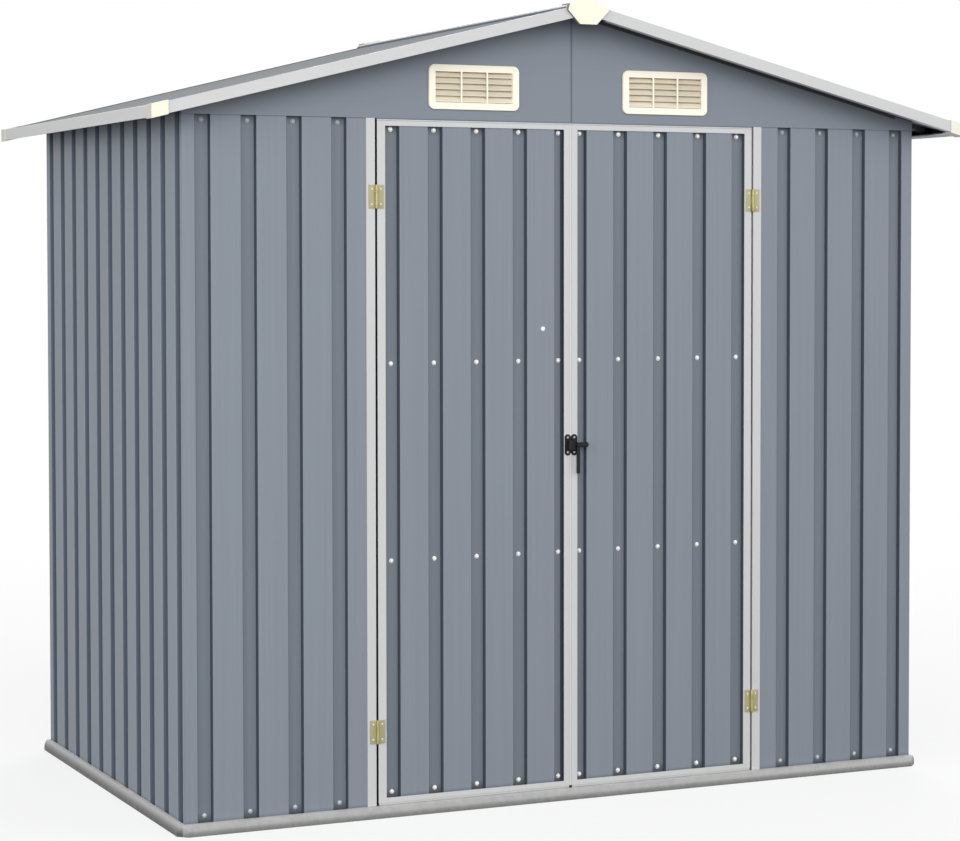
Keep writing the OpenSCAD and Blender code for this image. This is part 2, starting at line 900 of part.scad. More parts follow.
base_front();
base_rear();
base_left();
base_right();
front_wall_left();
front_wall_right();
left_wall();
right_wall();
rear_wall_left();
rear_wall_right();
top_rail_front();
top_rail_rear();
side_top_rails();
ridge_beam();
gable_front_left();
gable_front_right();
gable_rear_left();
gable_rear_right();
front_vents();
rear_vents();
roof_left();
roof_right();
ridge_cap();
front_rake_trims();
rear_rake_trims();
eave_trims();
corner_caps();
apex_caps();
door_jambs();
door_header();
left_hinge_frame_leaves();
right_hinge_frame_leaves();
left_door_panel();
left_hinge_stile();
left_meeting_stile();
left_door_rails();
left_hinge_door_leaves();
right_door_panel();
right_hinge_stile();
right_meeting_stile();
right_door_rails();
right_hinge_door_leaves();
latch_keeper();
latch_body();
latch_handle();
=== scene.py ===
"""Looks of a metal storage shed with a low gabled roof and a pair of doors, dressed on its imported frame."""

import logging
import math
from dataclasses import dataclass, field
from enum import Enum, IntEnum
from typing import Callable, Iterable

import bmesh
import bpy
from bmesh.types import BMesh, BMEdge, BMFace, BMVert
from mathutils import Matrix, Vector


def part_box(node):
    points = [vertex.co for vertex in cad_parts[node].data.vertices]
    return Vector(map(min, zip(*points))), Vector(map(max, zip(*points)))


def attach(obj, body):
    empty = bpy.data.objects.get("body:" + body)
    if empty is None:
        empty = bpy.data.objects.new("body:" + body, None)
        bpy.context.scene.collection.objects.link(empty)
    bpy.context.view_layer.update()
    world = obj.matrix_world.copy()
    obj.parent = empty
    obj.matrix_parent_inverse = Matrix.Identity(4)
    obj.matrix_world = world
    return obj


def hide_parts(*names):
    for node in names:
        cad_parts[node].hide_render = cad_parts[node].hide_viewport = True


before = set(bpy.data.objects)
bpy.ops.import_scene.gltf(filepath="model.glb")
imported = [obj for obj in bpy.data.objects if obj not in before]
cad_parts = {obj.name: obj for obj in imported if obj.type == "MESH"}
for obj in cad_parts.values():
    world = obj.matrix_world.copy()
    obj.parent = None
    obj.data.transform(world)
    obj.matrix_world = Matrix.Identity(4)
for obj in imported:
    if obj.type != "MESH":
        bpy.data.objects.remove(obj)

LOG = logging.getLogger("shed")
MM = 0.001
WELD = 0.002 * MM
FLAT_ANGLE = math.radians(0.5)
SHARP_ANGLE = math.radians(50)
BEND_ANGLE = math.radians(8)
CORNER_ANGLE = math.radians(40)
RIM_WIDTH = 3 * MM
ROOF_PITCH = math.radians(14)

Socket = bpy.types.NodeSocket
Colour = tuple[float, float, float]
Place = tuple[float, float, float]
Span = tuple[float, float]
Profile = tuple[Span, ...]
Box = tuple[Vector, Vector]
Feed = float | tuple[float, ...] | Socket

LEFT, RIGHT = Vector((-1, 0, 0)), Vector((1, 0, 0))
FRONT, REAR = Vector((0, -1, 0)), Vector((0, 1, 0))
UP = Vector((0, 0, 1))

NOISE_MIDDLE: Span = (0.25, 0.75)
DARKNESS = (0.0, 0.0, 0.0, 1.0)
FACTOR, VALUE_A, VALUE_B = 0, 2, 3
COLOUR_A, COLOUR_B, COLOUR_OUT = 6, 7, 2


class NodeBench:
    """Lays out the nodes of one material round its Principled shader."""

    def __init__(self, name: str) -> None:
        """Starts a material.

        Args:
            name: The material's name.
        """
        self.material = bpy.data.materials.new(name)
        self.material.use_nodes = True
        self.tree = self.material.node_tree
        self.shader = self.tree.nodes["Principled BSDF"]

    def node(self, kind: str, inputs: dict[str | int, Feed], operation: str = "") -> bpy.types.Node:
        """Adds a node.

        Args:
            kind: The node's type name.
            inputs: A number, colour or socket for each input that isn't left as it is.
            operation: What it works out, on a node with a choice of that.

        Returns:
            The new node.
        """
        made = self.tree.nodes.new(kind)
        if operation:
            made.operation = operation
        for key, value in inputs.items():
            self.feed(made.inputs[key], value)
        return made

    def feed(self, target: Socket, value: Feed) -> None:
        """Joins a socket to an input, or sets the input's own value.

        Args:
            target: The input.
            value: The socket, number or colour.
        """
        if isinstance(value, Socket):
            self.tree.links.new(value, target)
        else:
            target.default_value = value

    def coords(self, stretch: Place = (1, 1, 1)) -> Socket:
        """Object coordinates.

        Args:
            stretch: How much finer the pattern is along each axis.

        Returns:
            The socket that carries them.
        """
        source = self.node("ShaderNodeTexCoord", {})
        mapping = self.node("ShaderNodeMapping", {"Vector": source.outputs["Object"], "Scale": stretch})
        return mapping.outputs["Vector"]

    def noise(self, coords: Socket, scale: float, detail: float) -> Socket:
        """Cloudy noise from 0 to 1, by its clouds per metre and its number of finer layers."""
        made = self.node("ShaderNodeTexNoise", {"Vector": coords, "Scale": scale, "Detail": detail})
        return made.outputs[0]

    def spangle(self, coords: Socket, scale: float) -> Socket:
        """One value from 0 to 1 for each crystal of a zinc coat.

        Args:
            coords: The coordinates that it is drawn on.
            scale: Crystals per metre.

        Returns:
            The socket that carries it.
        """
        made = self.node("ShaderNodeTexVoronoi", {"Vector": coords, "Scale": scale})
        split = self.node("ShaderNodeSeparateColor", {"Color": made.outputs["Color"]})
        return split.outputs[0]

    def reckon(self, operation: str, first: Feed, second: Feed) -> Socket:
        """Works a value out from two others."""
        return self.node("ShaderNodeMath", {0: first, 1: second}, operation).outputs[0]

    def remap(self, value: Socket, source: Span, target: Span) -> Socket:
        """Carries a value from one range over to another, and stops at its ends."""
        made = self.node("ShaderNodeMapRange", {
            "Value": value, "From Min": source[0], "From Max": source[1],
            "To Min": target[0], "To Max": target[1]})
        return made.outputs["Result"]

    def weigh(self, first: Socket, second: Socket, share: float) -> Socket:
        """Mixes two values, with a share of the second."""
        made = self.node("ShaderNodeMix", {FACTOR: share, VALUE_A: first, VALUE_B: second})
        return made.outputs[0]

    def dull(self, colour: Socket, shade: "Shade") -> Socket:
        """Darkens a colour along one axis, as painted shade.

        Args:
            colour: The colour.
            shade: Where it is darkened, and how much.

        Returns:
            The socket that carries the result.
        """
        source = self.node("ShaderNodeTexCoord", {})
        split = self.node("ShaderNodeSeparateXYZ", {"Vector": source.outputs["Object"]})
        share = self.remap(split.outputs[shade.axis], (shade.dark, shade.clear), (shade.dim, 1.0))
        return self.blend(DARKNESS, colour, share)

    def blend(self, first: Feed, second: Feed, share: Feed) -> Socket:
        """Mixes two colours.

        Args:
            first: The first colour.
            second: The second colour.
            share: How much of the second goes in.

        Returns:
            The socket that carries the mix.
        """
        mix = self.tree.nodes.new("ShaderNodeMix")
        mix.data_type = "RGBA"
        for index, value in ((FACTOR, share), (COLOUR_A, first), (COLOUR_B, second)):
            self.feed(mix.inputs[index], value)
        return mix.outputs[COLOUR_OUT]

    def tint(self, colour: Colour, spread: float, value: Socket) -> Socket:
        """Varies a colour.

        Args:
            colour: The middle colour.
            spread: Share by which it goes darker and lighter.
            value: The noise that it follows.

        Returns:
            The socket that carries the colour.
        """
        dark = tuple(c * (1 - spread) for c in colour) + (1.0,)
        light = tuple(min(1.0, c * (1 + spread)) for c in colour) + (1.0,)
        return self.blend(dark, light, self.remap(value, NOISE_MIDDLE, (0, 1)))

    def gloss(self, roughness: float, spread: float, value: Socket) -> None:
        """Varies the roughness up and down by a spread, as a noise goes."""
        varied = self.remap(value, NOISE_MIDDLE, (roughness - spread, roughness + spread))
        self.feed(self.shader.inputs["Roughness"], varied)

    def relief(self, height: Socket, depth: float, strength: float) -> None:
        """Adds a bump that follows a noise, by its depth in metres and the share of it that shows."""
        bump = self.node("ShaderNodeBump", {"Strength": strength, "Distance": depth, "Height": height})
        self.feed(self.shader.inputs["Normal"], bump.outputs["Normal"])


class Grain(Enum):
    """Direction in which a sheet was rolled, as the fineness of its streaks along each axis."""

    UPRIGHT = (150.0, 150.0, 1.6)
    DOWN_SLOPE = (1.6, 150.0, 6.0)
    ACROSS = (1.6, 150.0, 150.0)
    ALONG_EAVE = (150.0, 1.6, 150.0)


@dataclass(frozen=True)
class Shade:
    """A soft painted shade: a darkening that fades out between two places along an axis."""

    axis: str
    dark: float
    clear: float
    dim: float


@dataclass(frozen=True)
class Finish:
    """A surface finish, with the colour and gloss that it is written with."""

    name: str
    slot: str
    colour: Colour
    roughness: float
    metallic: float = 0.0
    specular: float = 0.4
    spread: float = 0.05
    grain: Grain = Grain.UPRIGHT
    shades: tuple[Shade, ...] = ()

    def material(self) -> bpy.types.Material:
        """Makes the finish's material when it is first asked for.

        Returns:
            The material.
        """
        found = bpy.data.materials.get(self.name)
        if found:
            return found
        bench = NodeBench(self.name)
        bench.shader.inputs["Metallic"].default_value = self.metallic
        bench.shader.inputs["Specular IOR Level"].default_value = self.specular
        self.dress(bench)
        return bench.material

    def coat(self, bench: NodeBench, value: Socket) -> None:
        """Lays the colour on, varied by a noise and darkened by the shades.

        Args:
            bench: The material under work.
            value: The noise.
        """
        colour = bench.tint(self.colour, self.spread, value)
        for shade in self.shades:
            colour = bench.dull(colour, shade)
        bench.feed(bench.shader.inputs["Base Color"], colour)

    def dress(self, bench: NodeBench) -> None:
        """Lays out the finish's own marks on the material under work."""
        raise NotImplementedError


class SheetPaint(Finish):
    """Coil-coated paint with fine streaks along the sheet and a faint orange peel."""

    def dress(self, bench: NodeBench) -> None:
        """Lays out streaks, clouds and peel.

        Args:
            bench: The material under work.
        """
        streaks = bench.noise(bench.coords(self.grain.value), scale=1.0, detail=4)
        clouds = bench.noise(bench.coords(), scale=2.5, detail=2)
        peel = bench.noise(bench.coords(), scale=650, detail=1)
        self.coat(bench, bench.weigh(streaks, clouds, share=0.3))
        bench.gloss(self.roughness, spread=0.06, value=streaks)
        bench.relief(bench.weigh(streaks, peel, share=0.4), depth=0.15 * MM, strength=0.35)


class TrimPaint(Finish):
    """Smooth paint on folded trims, with faint scuffs along them."""

    def dress(self, bench: NodeBench) -> None:
        """Lays out scuffs and clouds.

        Args:
            bench: The material under work.
        """
        scuffs = bench.noise(bench.coords(self.grain.value), scale=1.0, detail=3)
        clouds = bench.noise(bench.coords(), scale=6, detail=3)
        peel = bench.noise(bench.coords(), scale=500, detail=1)
        self.coat(bench, bench.weigh(scuffs, clouds, share=0.5))
        bench.gloss(self.roughness, spread=0.05, value=clouds)
        bench.relief(peel, depth=0.1 * MM, strength=0.2)


class ZincCoat(Finish):
    """Hot-dip zinc with crystals of slightly different grey."""

    def dress(self, bench: NodeBench) -> None:
        """Lays out crystals and a dull bloom.

        Args:
            bench: The material under work.
        """
        crystals = bench.spangle(bench.coords(), scale=90)
        bloom = bench.noise(bench.coords(), scale=9, detail=3)
        pits = bench.noise(bench.coords(), scale=400, detail=1)
        self.coat(bench, bench.weigh(crystals, bloom, share=0.4))
        bench.gloss(self.roughness, spread=0.07, value=bench.weigh(crystals, bloom, share=0.5))
        bench.relief(pits, depth=0.1 * MM, strength=0.2)


class MouldedPlastic(Finish):
    """Moulded plastic with a fine sparked grain."""

    def dress(self, bench: NodeBench) -> None:
        """Lays out the grain and a faint flow of the colour.

        Args:
            bench: The material under work.
        """
        flow = bench.noise(bench.coords(), scale=14, detail=3)
        sparks = bench.noise(bench.coords(), scale=1500, detail=2)
        self.coat(bench, flow)
        bench.gloss(self.roughness, spread=0.05, value=flow)
        bench.relief(sparks, depth=0.08 * MM, strength=0.25)


class PlatedSteel(Finish):
    """Plated steel with a fine brushed grain and a light tarnish."""

    def dress(self, bench: NodeBench) -> None:
        """Lays out brush lines and tarnish.

        Args:
            bench: The material under work.
        """
        lines = bench.noise(bench.coords(stretch=(900, 900, 90)), scale=1.0, detail=2)
        tarnish = bench.noise(bench.coords(), scale=60, detail=3)
        self.coat(bench, bench.weigh(lines, tarnish, share=0.6))
        bench.gloss(self.roughness, spread=0.08, value=tarnish)
        bench.relief(lines, depth=0.03 * MM, strength=0.2)


WALL: Colour = (0.218, 0.247, 0.288)
PLAIN_TINT: Colour = (1.0, 1.0, 1.0)
SHADOW_TINT: Colour = (0.92, 1.0, 1.1)


def wall_paint(part: str, share: float, grain: Grain, specular: float = 0.3, spread: float = 0.06,
               tint: Colour = PLAIN_TINT, shades: tuple[Shade, ...] = ()) -> SheetPaint:
    """Wall paint for one part of a sheet.

    Args:
        part: The part's name.
        share: How bright it is beside the flats.
        grain: Direction of its streaks.
        specular: Strength of its reflections.
        spread: Share by which its streaks go darker and lighter.
        tint: Shift of its hue.
        shades: Where painted shade darkens it.

    Returns:
        The finish.
    """
    colour = tuple(share * c * t for c, t in zip(WALL, tint))
    return SheetPaint(f"wall_{part}", "wall_sheet", colour, roughness=0.5, specular=specular, spread=spread,
                      grain=grain, shades=shades)


PALE = (0.585, 0.587, 0.59)
RIDGE_PALE = TrimPaint("ridge_pale", "trim", (0.8, 0.8, 0.8), 0.42, spread=0.02, grain=Grain.ALONG_EAVE)
TRIM_UPRIGHT = TrimPaint("trim_upright", "trim", PALE, 0.42, spread=0.03)
TRIM_ACROSS = TrimPaint("trim_across", "trim", PALE, 0.42, spread=0.03, grain=Grain.ACROSS)
TRIM_EAVE = TrimPaint("trim_eave", "trim", PALE, 0.42, spread=0.03, grain=Grain.ALONG_EAVE)
# Painted light: the eave trims' hems are whiter than the trim paint, as light on the foot of their linings.
HEM_PAINTED_LIGHT = TrimPaint("hem_painted_light", "trim", (0.9, 0.9, 0.9), 0.42, spread=0.03, grain=Grain.ALONG_EAVE)
# Painted shade: the base rails darken towards the ground. The front rail's colour is raised and then dimmed
# below 20 mm, a painted highlight along its top. The flank rails are a more deeply shaded copy.
RAIL = ZincCoat("base_rail_zinc", "base_rail", (0.52, 0.52, 0.515), 0.45, metallic=0.15, spread=0.05,
                shades=(Shade("Z", 0, 21 * MM, 0.37), Shade("Z", 20 * MM, 25 * MM, 0.79)))
FLANK_RAIL = ZincCoat("flank_rail_zinc", "base_rail", (0.55, 0.55, 0.545), 0.45, metallic=0.15, spread=0.05,
                      shades=(Shade("Z", 7 * MM, 25 * MM, 0.22), Shade("Z", 14 * MM, 25 * MM, 0.6)))
FRAME_ZINC = ZincCoat("frame_zinc", "zinc", (0.42, 0.43, 0.44), 0.42, metallic=0.5, spread=0.1)
CREAM = MouldedPlastic("apex_cream", "cream_plastic", (0.9, 0.89, 0.72), 0.45, spread=0.015)
CAP_CREAM = MouldedPlastic("cap_cream", "cream_plastic", (0.84, 0.83, 0.69), 0.45, spread=0.012)
# Painted shade: the corner caps' side legs and the apex caps' tapered faces are darker copies of the cream.
# They stand for the shade on the legs and the contact shadow round the apex caps.
CAP_SHADED_SIDE = MouldedPlastic("cap_side_painted_shade", "cream_plastic", (0.62, 0.59, 0.52), 0.5, spread=0.02)
APEX_SHADED_EDGE = MouldedPlastic("apex_edge_painted_shade", "cream_plastic", (0.2, 0.2, 0.17), 0.6, specular=0.2, spread=0.05)
# Painted shade: the vents' cream darkens towards the top of the border, under the roof.
VENT_CREAM = MouldedPlastic("vent_cream", "cream_plastic", (0.99, 0.945, 0.8), 0.45, spread=0.01,
                            shades=(Shade("Z", 1635.5 * MM, 1621 * MM, 0.91),))
BAR_CREAM = MouldedPlastic("bar_cream", "cream_plastic", (0.78, 0.74, 0.63), 0.5, spread=0.02)
# Painted shade: the blades are a darker, warmer copy of the cream, for the shade and warm bounce between
# them. The lowest blade's colour is raised as painted light bounced off the sill, and the blades above it are
# dimmed.
BLADE_PAINTED_SHADE = MouldedPlastic("blade_painted_shade_and_light", "cream_plastic", (0.82, 0.745, 0.59), 0.5, spread=0.03,
                           shades=(Shade("Z", 1568.5 * MM, 1565.5 * MM, 0.88),))
KNUCKLE = PlatedSteel("hinge_knuckle", "hinge_brass", (0.385, 0.345, 0.125), 0.42, metallic=0.35, spread=0.08)
LEAF = PlatedSteel("hinge_leaf", "hinge_brass", (0.365, 0.345, 0.205), 0.44, metallic=0.3, spread=0.08)
BRASS_SCREW = PlatedSteel("brass_screw", "hinge_brass", (0.68, 0.65, 0.46), 0.4, metallic=0.2, spread=0.04)
BLACK = MouldedPlastic("latch_plastic", "latch_black", (0.0115, 0.0115, 0.0135), 0.45, specular=0.15,
                       spread=0.1)
# Rubber, and painted shade: black so that the hinge gaps look dark.
RUBBER_AND_SHADE = MouldedPlastic("rubber_and_painted_shade", "latch_black", (0.012, 0.012, 0.013), 0.7, specular=0.2, spread=0.1)
# Foam, and painted shade: dark as the shaded gap between the gables and the roof.
FOAM_AND_SHADE = MouldedPlastic("foam_and_painted_shade", "latch_black", (0.075, 0.077, 0.082), 0.8, specular=0.1, spread=0.1)
PALE_SEAL = MouldedPlastic("pale_seal", "trim", (0.63, 0.63, 0.63), 0.5, spread=0.02)
SILL_SEAL = MouldedPlastic("sill_seal", "trim", (0.5, 0.5, 0.5), 0.55, spread=0.02)
# Painted shade: the trims' inner faces are near black, as the shade under the trims.
SHADE_LINING = MouldedPlastic("lining_painted_shade", "trim", (0.02, 0.0205, 0.022), 0.7, specular=0.1, spread=0.08)
GRIP = MouldedPlastic("latch_grip", "latch_black", (0.013, 0.014, 0.014), 0.5, specular=0.15, spread=0.1)
# Sealant, and painted shade: its dark grey on the ridge beads stands in for the shade under the ridge cap's
# lip.
SEALANT_AND_SHADE = MouldedPlastic("sealant_and_painted_shade", "wall_sheet", (0.135, 0.153, 0.185), 0.6, specular=0.2, spread=0.05)
WHITE_SCREW = PlatedSteel("white_screw", "zinc", (0.96, 0.96, 0.96), 0.34, metallic=0.05, spread=0.02)
DULL_SCREW = PlatedSteel("dull_screw", "zinc", (0.42, 0.41, 0.39), 0.4, metallic=0.2, spread=0.05)
# Painted shade: the wall screws darken upwards from 1400 mm, for the top row in the eaves' shade; the roof
# screws take it too.
ZINC_SCREW = PlatedSteel("zinc_screw", "zinc", (0.5, 0.56, 0.62), 0.4, metallic=0.2, spread=0.04,
                         shades=(Shade("Z", 1510 * MM, 1400 * MM, 0.7),))


class SheetPart(IntEnum):
    """Parts of a grooved sheet that take their own tone of paint."""

    FLAT = 0
    FLOOR = 1
    SIDE = 2
    BACK = 3


@dataclass(frozen=True)
class SheetTones:
    """Brightness of each part of a sheet beside a wall's flats, and how soft the bends are; the grooves'
    floors and sides are darkened as painted shade.
    """

    flat: float = 1.0
    floor: float = 0.805
    side: float = 0.31
    back: float = 0.8
    deep: float = 0.8
    bend: float = 0.9 * MM
    specular: float = 0.3
    tint: Colour = PLAIN_TINT


# Painted shade: the side walls take their own shaded copies of the paint, and the roof's back is darkened as
# the shade under the overhang.
UPRIGHT_TONES = SheetTones()
FLANK_TONES = SheetTones(flat=0.99, side=0.57, floor=0.85, deep=0.68, bend=1.4 * MM)
ROOF_TONES = SheetTones(flat=1.4, floor=1.15, back=0.22, specular=0.0, tint=(1.15, 1.07, 0.96))


class Workpiece:
    """A mesh under work that ends as one piece on a body."""

    def __init__(self, name: str) -> None:
        """Starts an empty mesh for a piece of that name."""
        self.name = name
        self.bm = bmesh.new()

    @classmethod
    def from_node(cls, name: str, node: str, whole: bool = True) -> "Workpiece":
        """Starts from a merged copy of a CAD node.

        Args:
            name: The piece's name.
            node: The node's name.
            whole: Whether the triangles of each flat face are joined again.

        Returns:
            The copy.
        """
        work = cls(name)
        work.bm.from_mesh(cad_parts[node].data)
        bmesh.ops.remove_doubles(work.bm, verts=work.bm.verts, dist=WELD)
        if whole:
            bmesh.ops.dissolve_limit(
                work.bm, angle_limit=FLAT_ANGLE, verts=work.bm.verts, edges=work.bm.edges)
        work.bm.normal_update()
        return work

    def add_bar(self, outline: Iterable[Vector], along: Vector) -> None:
        """Adds a bar with one outline along its length.

        Args:
            outline: Corners of its end, in order.
            along: Its length and direction.
        """
        end = self.bm.faces.new([self.bm.verts.new(corner) for corner in outline])
        grown = bmesh.ops.extrude_face_region(self.bm, geom=[end])["geom"]
        bmesh.ops.translate(self.bm, vec=along, verts=[g for g in grown if isinstance(g, BMVert)])
        bmesh.ops.recalc_face_normals(self.bm, faces=self.bm.faces)

    def cut(self, place: Vector, across: Vector) -> None:
        """Cuts the faces where a plane goes through them, and keeps both sides."""
        whole = self.bm.verts[:] + self.bm.edges[:] + self.bm.faces[:]
        bmesh.ops.bisect_plane(self.bm, geom=whole, plane_co=place, plane_no=across)

    def round_edges(self, width: float, segments: int, wanted: Callable[[BMEdge], bool]) -> None:
        """Rounds some of the edges.

        Args:
            width: Offset of the rounding in metres.
            segments: Number of faces across it.
            wanted: Says whether an edge is rounded.
        """
        edges = [e for e in self.bm.edges if e.is_manifold and wanted(e)]
        if edges:
            bmesh.ops.bevel(
                self.bm, geom=edges, offset=width, offset_type="OFFSET", segments=segments,
                profile=0.5, affect="EDGES", clamp_overlap=True, material=-1)
            bmesh.ops.dissolve_degenerate(self.bm, dist=WELD, edges=self.bm.edges)
        self.bm.normal_update()

    def finish(self, body: str, finishes: list[Finish], *replaced: str) -> None:
        """Makes the piece, gives it its finishes and sets it on its body.

        Args:
            body: The CAD body that it rides on.
            finishes: Its finishes, in the order of its faces' material numbers.
            replaced: The CAD nodes that it stands for.
        """
        mesh = bpy.data.meshes.new(self.name)
        for finish in finishes:
            mesh.materials.append(finish.material())
        self.bm.to_mesh(mesh)
        self.bm.free()
        mesh.shade_smooth()
        mesh.set_sharp_from_angle(angle=SHARP_ANGLE)
        piece = bpy.data.objects.new(self.name, mesh)
        bpy.context.scene.collection.objects.link(piece)
        normals = piece.modifiers.new("flat_faces", "WEIGHTED_NORMAL")
        normals.keep_sharp = True
        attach(piece, body)
        if replaced:
            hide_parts(*replaced)
        LOG.info("%s: %d faces on %s", self.name, len(mesh.polygons), body)


def face_widths(edge: BMEdge) -> list[float]:
    """Widths of the faces beside an edge, across it."""
    length = edge.calc_length()
    return [face.calc_area() / length for face in edge.link_faces]


def is_bend(edge: BMEdge) -> bool:
    """Whether an edge is a fold between two wide faces of a sheet."""
    return edge.calc_face_angle() > BEND_ANGLE and min(face_widths(edge)) > RIM_WIDTH


def is_corner(edge: BMEdge) -> bool:
    """Whether an edge is a sharp one."""
    return edge.calc_face_angle() > CORNER_ANGLE


@dataclass
class GroovedSheet:
    """A sheet with pressed grooves: rounded bends and paint that is darker in the grooves, as painted shade.

    Painted shade also darkens the paint close to the ends, the heights at which the sheet goes behind its
    rails. What lies in a groove to the right of shaded_from is darkened as much as the grooves' sides, as the
    meeting stile's painted shadow.
    """

    node: str
    body: str
    outward: Vector
    tones: SheetTones
    ends: Span | None = None
    shaded_from: float | None = None
    end_reach: float = 20 * MM
    end_dim: float = 0.45
    line_reach: Span = (8 * MM, 3 * MM)
    line_dim: Span = (0.66, 0.62)
    side_specular: float = 0.1
    straight: float = 0.99
    deep_share: float = 0.9
    flat_share: float = 0.25
    floor_facing: float = 0.9
    back_facing: float = 0.1
    floors: list[Vector] = field(default_factory=list)

    def build(self) -> None:
        """Makes the sheet and notes the middle of each groove's floor."""
        work = Workpiece.from_node(f"{self.node}_sheet", self.node)
        top = max(v.co.dot(self.outward) for v in work.bm.verts)
        outer = [f for f in work.bm.faces if f.normal.dot(self.outward) > self.straight]
        sunk = [top - f.calc_center_median().dot(self.outward) for f in outer]
        depth = max(sunk)
        self.floors = [f.calc_center_median() for f, s in zip(outer, sunk) if s > self.deep_share * depth]
        work.round_edges(self.tones.bend, segments=2, wanted=is_bend)
        if self.shaded_from is not None:
            work.cut(RIGHT * self.shaded_from, RIGHT)
        for face in work.bm.faces:
            face.material_index = self.part_of(face, top, depth)
        work.finish(self.body, self.paints(top, depth), self.node)

    def paints(self, top: float, depth: float) -> list[Finish]:
        """Makes the paint of each part, with painted shade on the grooves' floors and sides and close to the
        ends.

        Args:
            top: Place of the flats along the outward direction.
            depth: Depth of the grooves.

        Returns:
            The paints in the order of the parts.
        """
        tones = self.tones
        grain = Grain.UPRIGHT if self.ends else Grain.DOWN_SLOPE
        line: tuple[Shade, ...] = ()
        ends: tuple[Shade, ...] = ()
        deep: tuple[Shade, ...] = ()
        # Painted shade: dark lines on the flats and wider shade on the floors at the rails, and the sides
        # darkened deeper down.
        if self.ends:
            rows = list(zip(self.ends, (1, -1), self.line_reach, self.line_dim))
            line = tuple(Shade("Z", z, z + way * reach, dim) for z, way, reach, dim in rows)
            ends = tuple(Shade("Z", z, z + way * self.end_reach, self.end_dim) for z, way, *_ in rows)
            axis, sign = ("X", self.outward.x) if self.outward.x else ("Y", self.outward.y)
            deep = (Shade(axis, sign * (top - depth), sign * top, tones.deep),)
        node, shine, tint = self.node, tones.specular, tones.tint
        return [
            wall_paint(f"{node}_flat", tones.flat, grain, shine, tint=tint, shades=line),
            wall_paint(f"{node}_floor", tones.floor, grain, shine, tint=tint, shades=ends),
            wall_paint(f"{node}_side", tones.side, grain, self.side_specular, tint=SHADOW_TINT, shades=deep),
            wall_paint(f"{node}_back", tones.back, grain),
        ]

    def part_of(self, face: BMFace, top: float, depth: float) -> SheetPart:
        """Says which part of the sheet a face belongs to.

        Args:
            face: The face.
            top: Place of the flats along the outward direction.
            depth: Depth of the grooves.

        Returns:
            The part.
        """
        facing = face.normal.dot(self.outward)
        middle = face.calc_center_median()
        if facing < self.back_facing:
            return SheetPart.BACK
        if top - middle.dot(self.outward) < self.flat_share * depth:
            return SheetPart.FLAT
        if self.shaded_from is not None and middle.x > self.shaded_from:
            return SheetPart.SIDE
        return SheetPart.FLOOR if facing > self.floor_facing else SheetPart.SIDE


@dataclass
class Cladding:
    """The grooved sheets of the walls, the doors and the roof."""

    shaded_from: float = -21 * MM
    door_rail: float = 11 * MM
    sheets: dict[str, GroovedSheet] = field(default_factory=dict)

    def build(self) -> None:
        """Makes each sheet."""
        slope = Vector((math.sin(ROOF_PITCH), 0, math.cos(ROOF_PITCH)))
        mirrored = Vector((-slope.x, 0, slope.z))
        wall = (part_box("base_front")[1].z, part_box("gable_front_left")[0].z)
        low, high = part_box("left_door_rails")
        door = (low.z + self.door_rail, high.z - self.door_rail)
        rows = [
            ("front_wall_left", "shell", FRONT, UPRIGHT_TONES, wall),
            ("front_wall_right", "shell", FRONT, UPRIGHT_TONES, wall),
            ("left_wall", "shell", LEFT, FLANK_TONES, wall),
            ("right_wall", "shell", RIGHT, FLANK_TONES, wall),
            ("rear_wall_left", "shell", REAR, UPRIGHT_TONES, wall),
            ("rear_wall_right", "shell", REAR, UPRIGHT_TONES, wall),
            ("left_door_panel", "left_door", FRONT, UPRIGHT_TONES, door),
            ("right_door_panel", "right_door", FRONT, UPRIGHT_TONES, door),
            ("roof_left", "shell", mirrored, ROOF_TONES, None),
            ("roof_right", "shell", slope, ROOF_TONES, None),
        ]
        for node, body, outward, tones, ends in rows:
            sheet = GroovedSheet(node, body, outward, tones, ends)
            if node == "left_door_panel":
                sheet.shaded_from = self.shaded_from
            sheet.build()
            self.sheets[node] = sheet


class TrimFace(IntEnum):
    """Faces of a trim that take their own finish."""

    OUTER = 0
    SHADE_LINING = 1
    HEM = 2


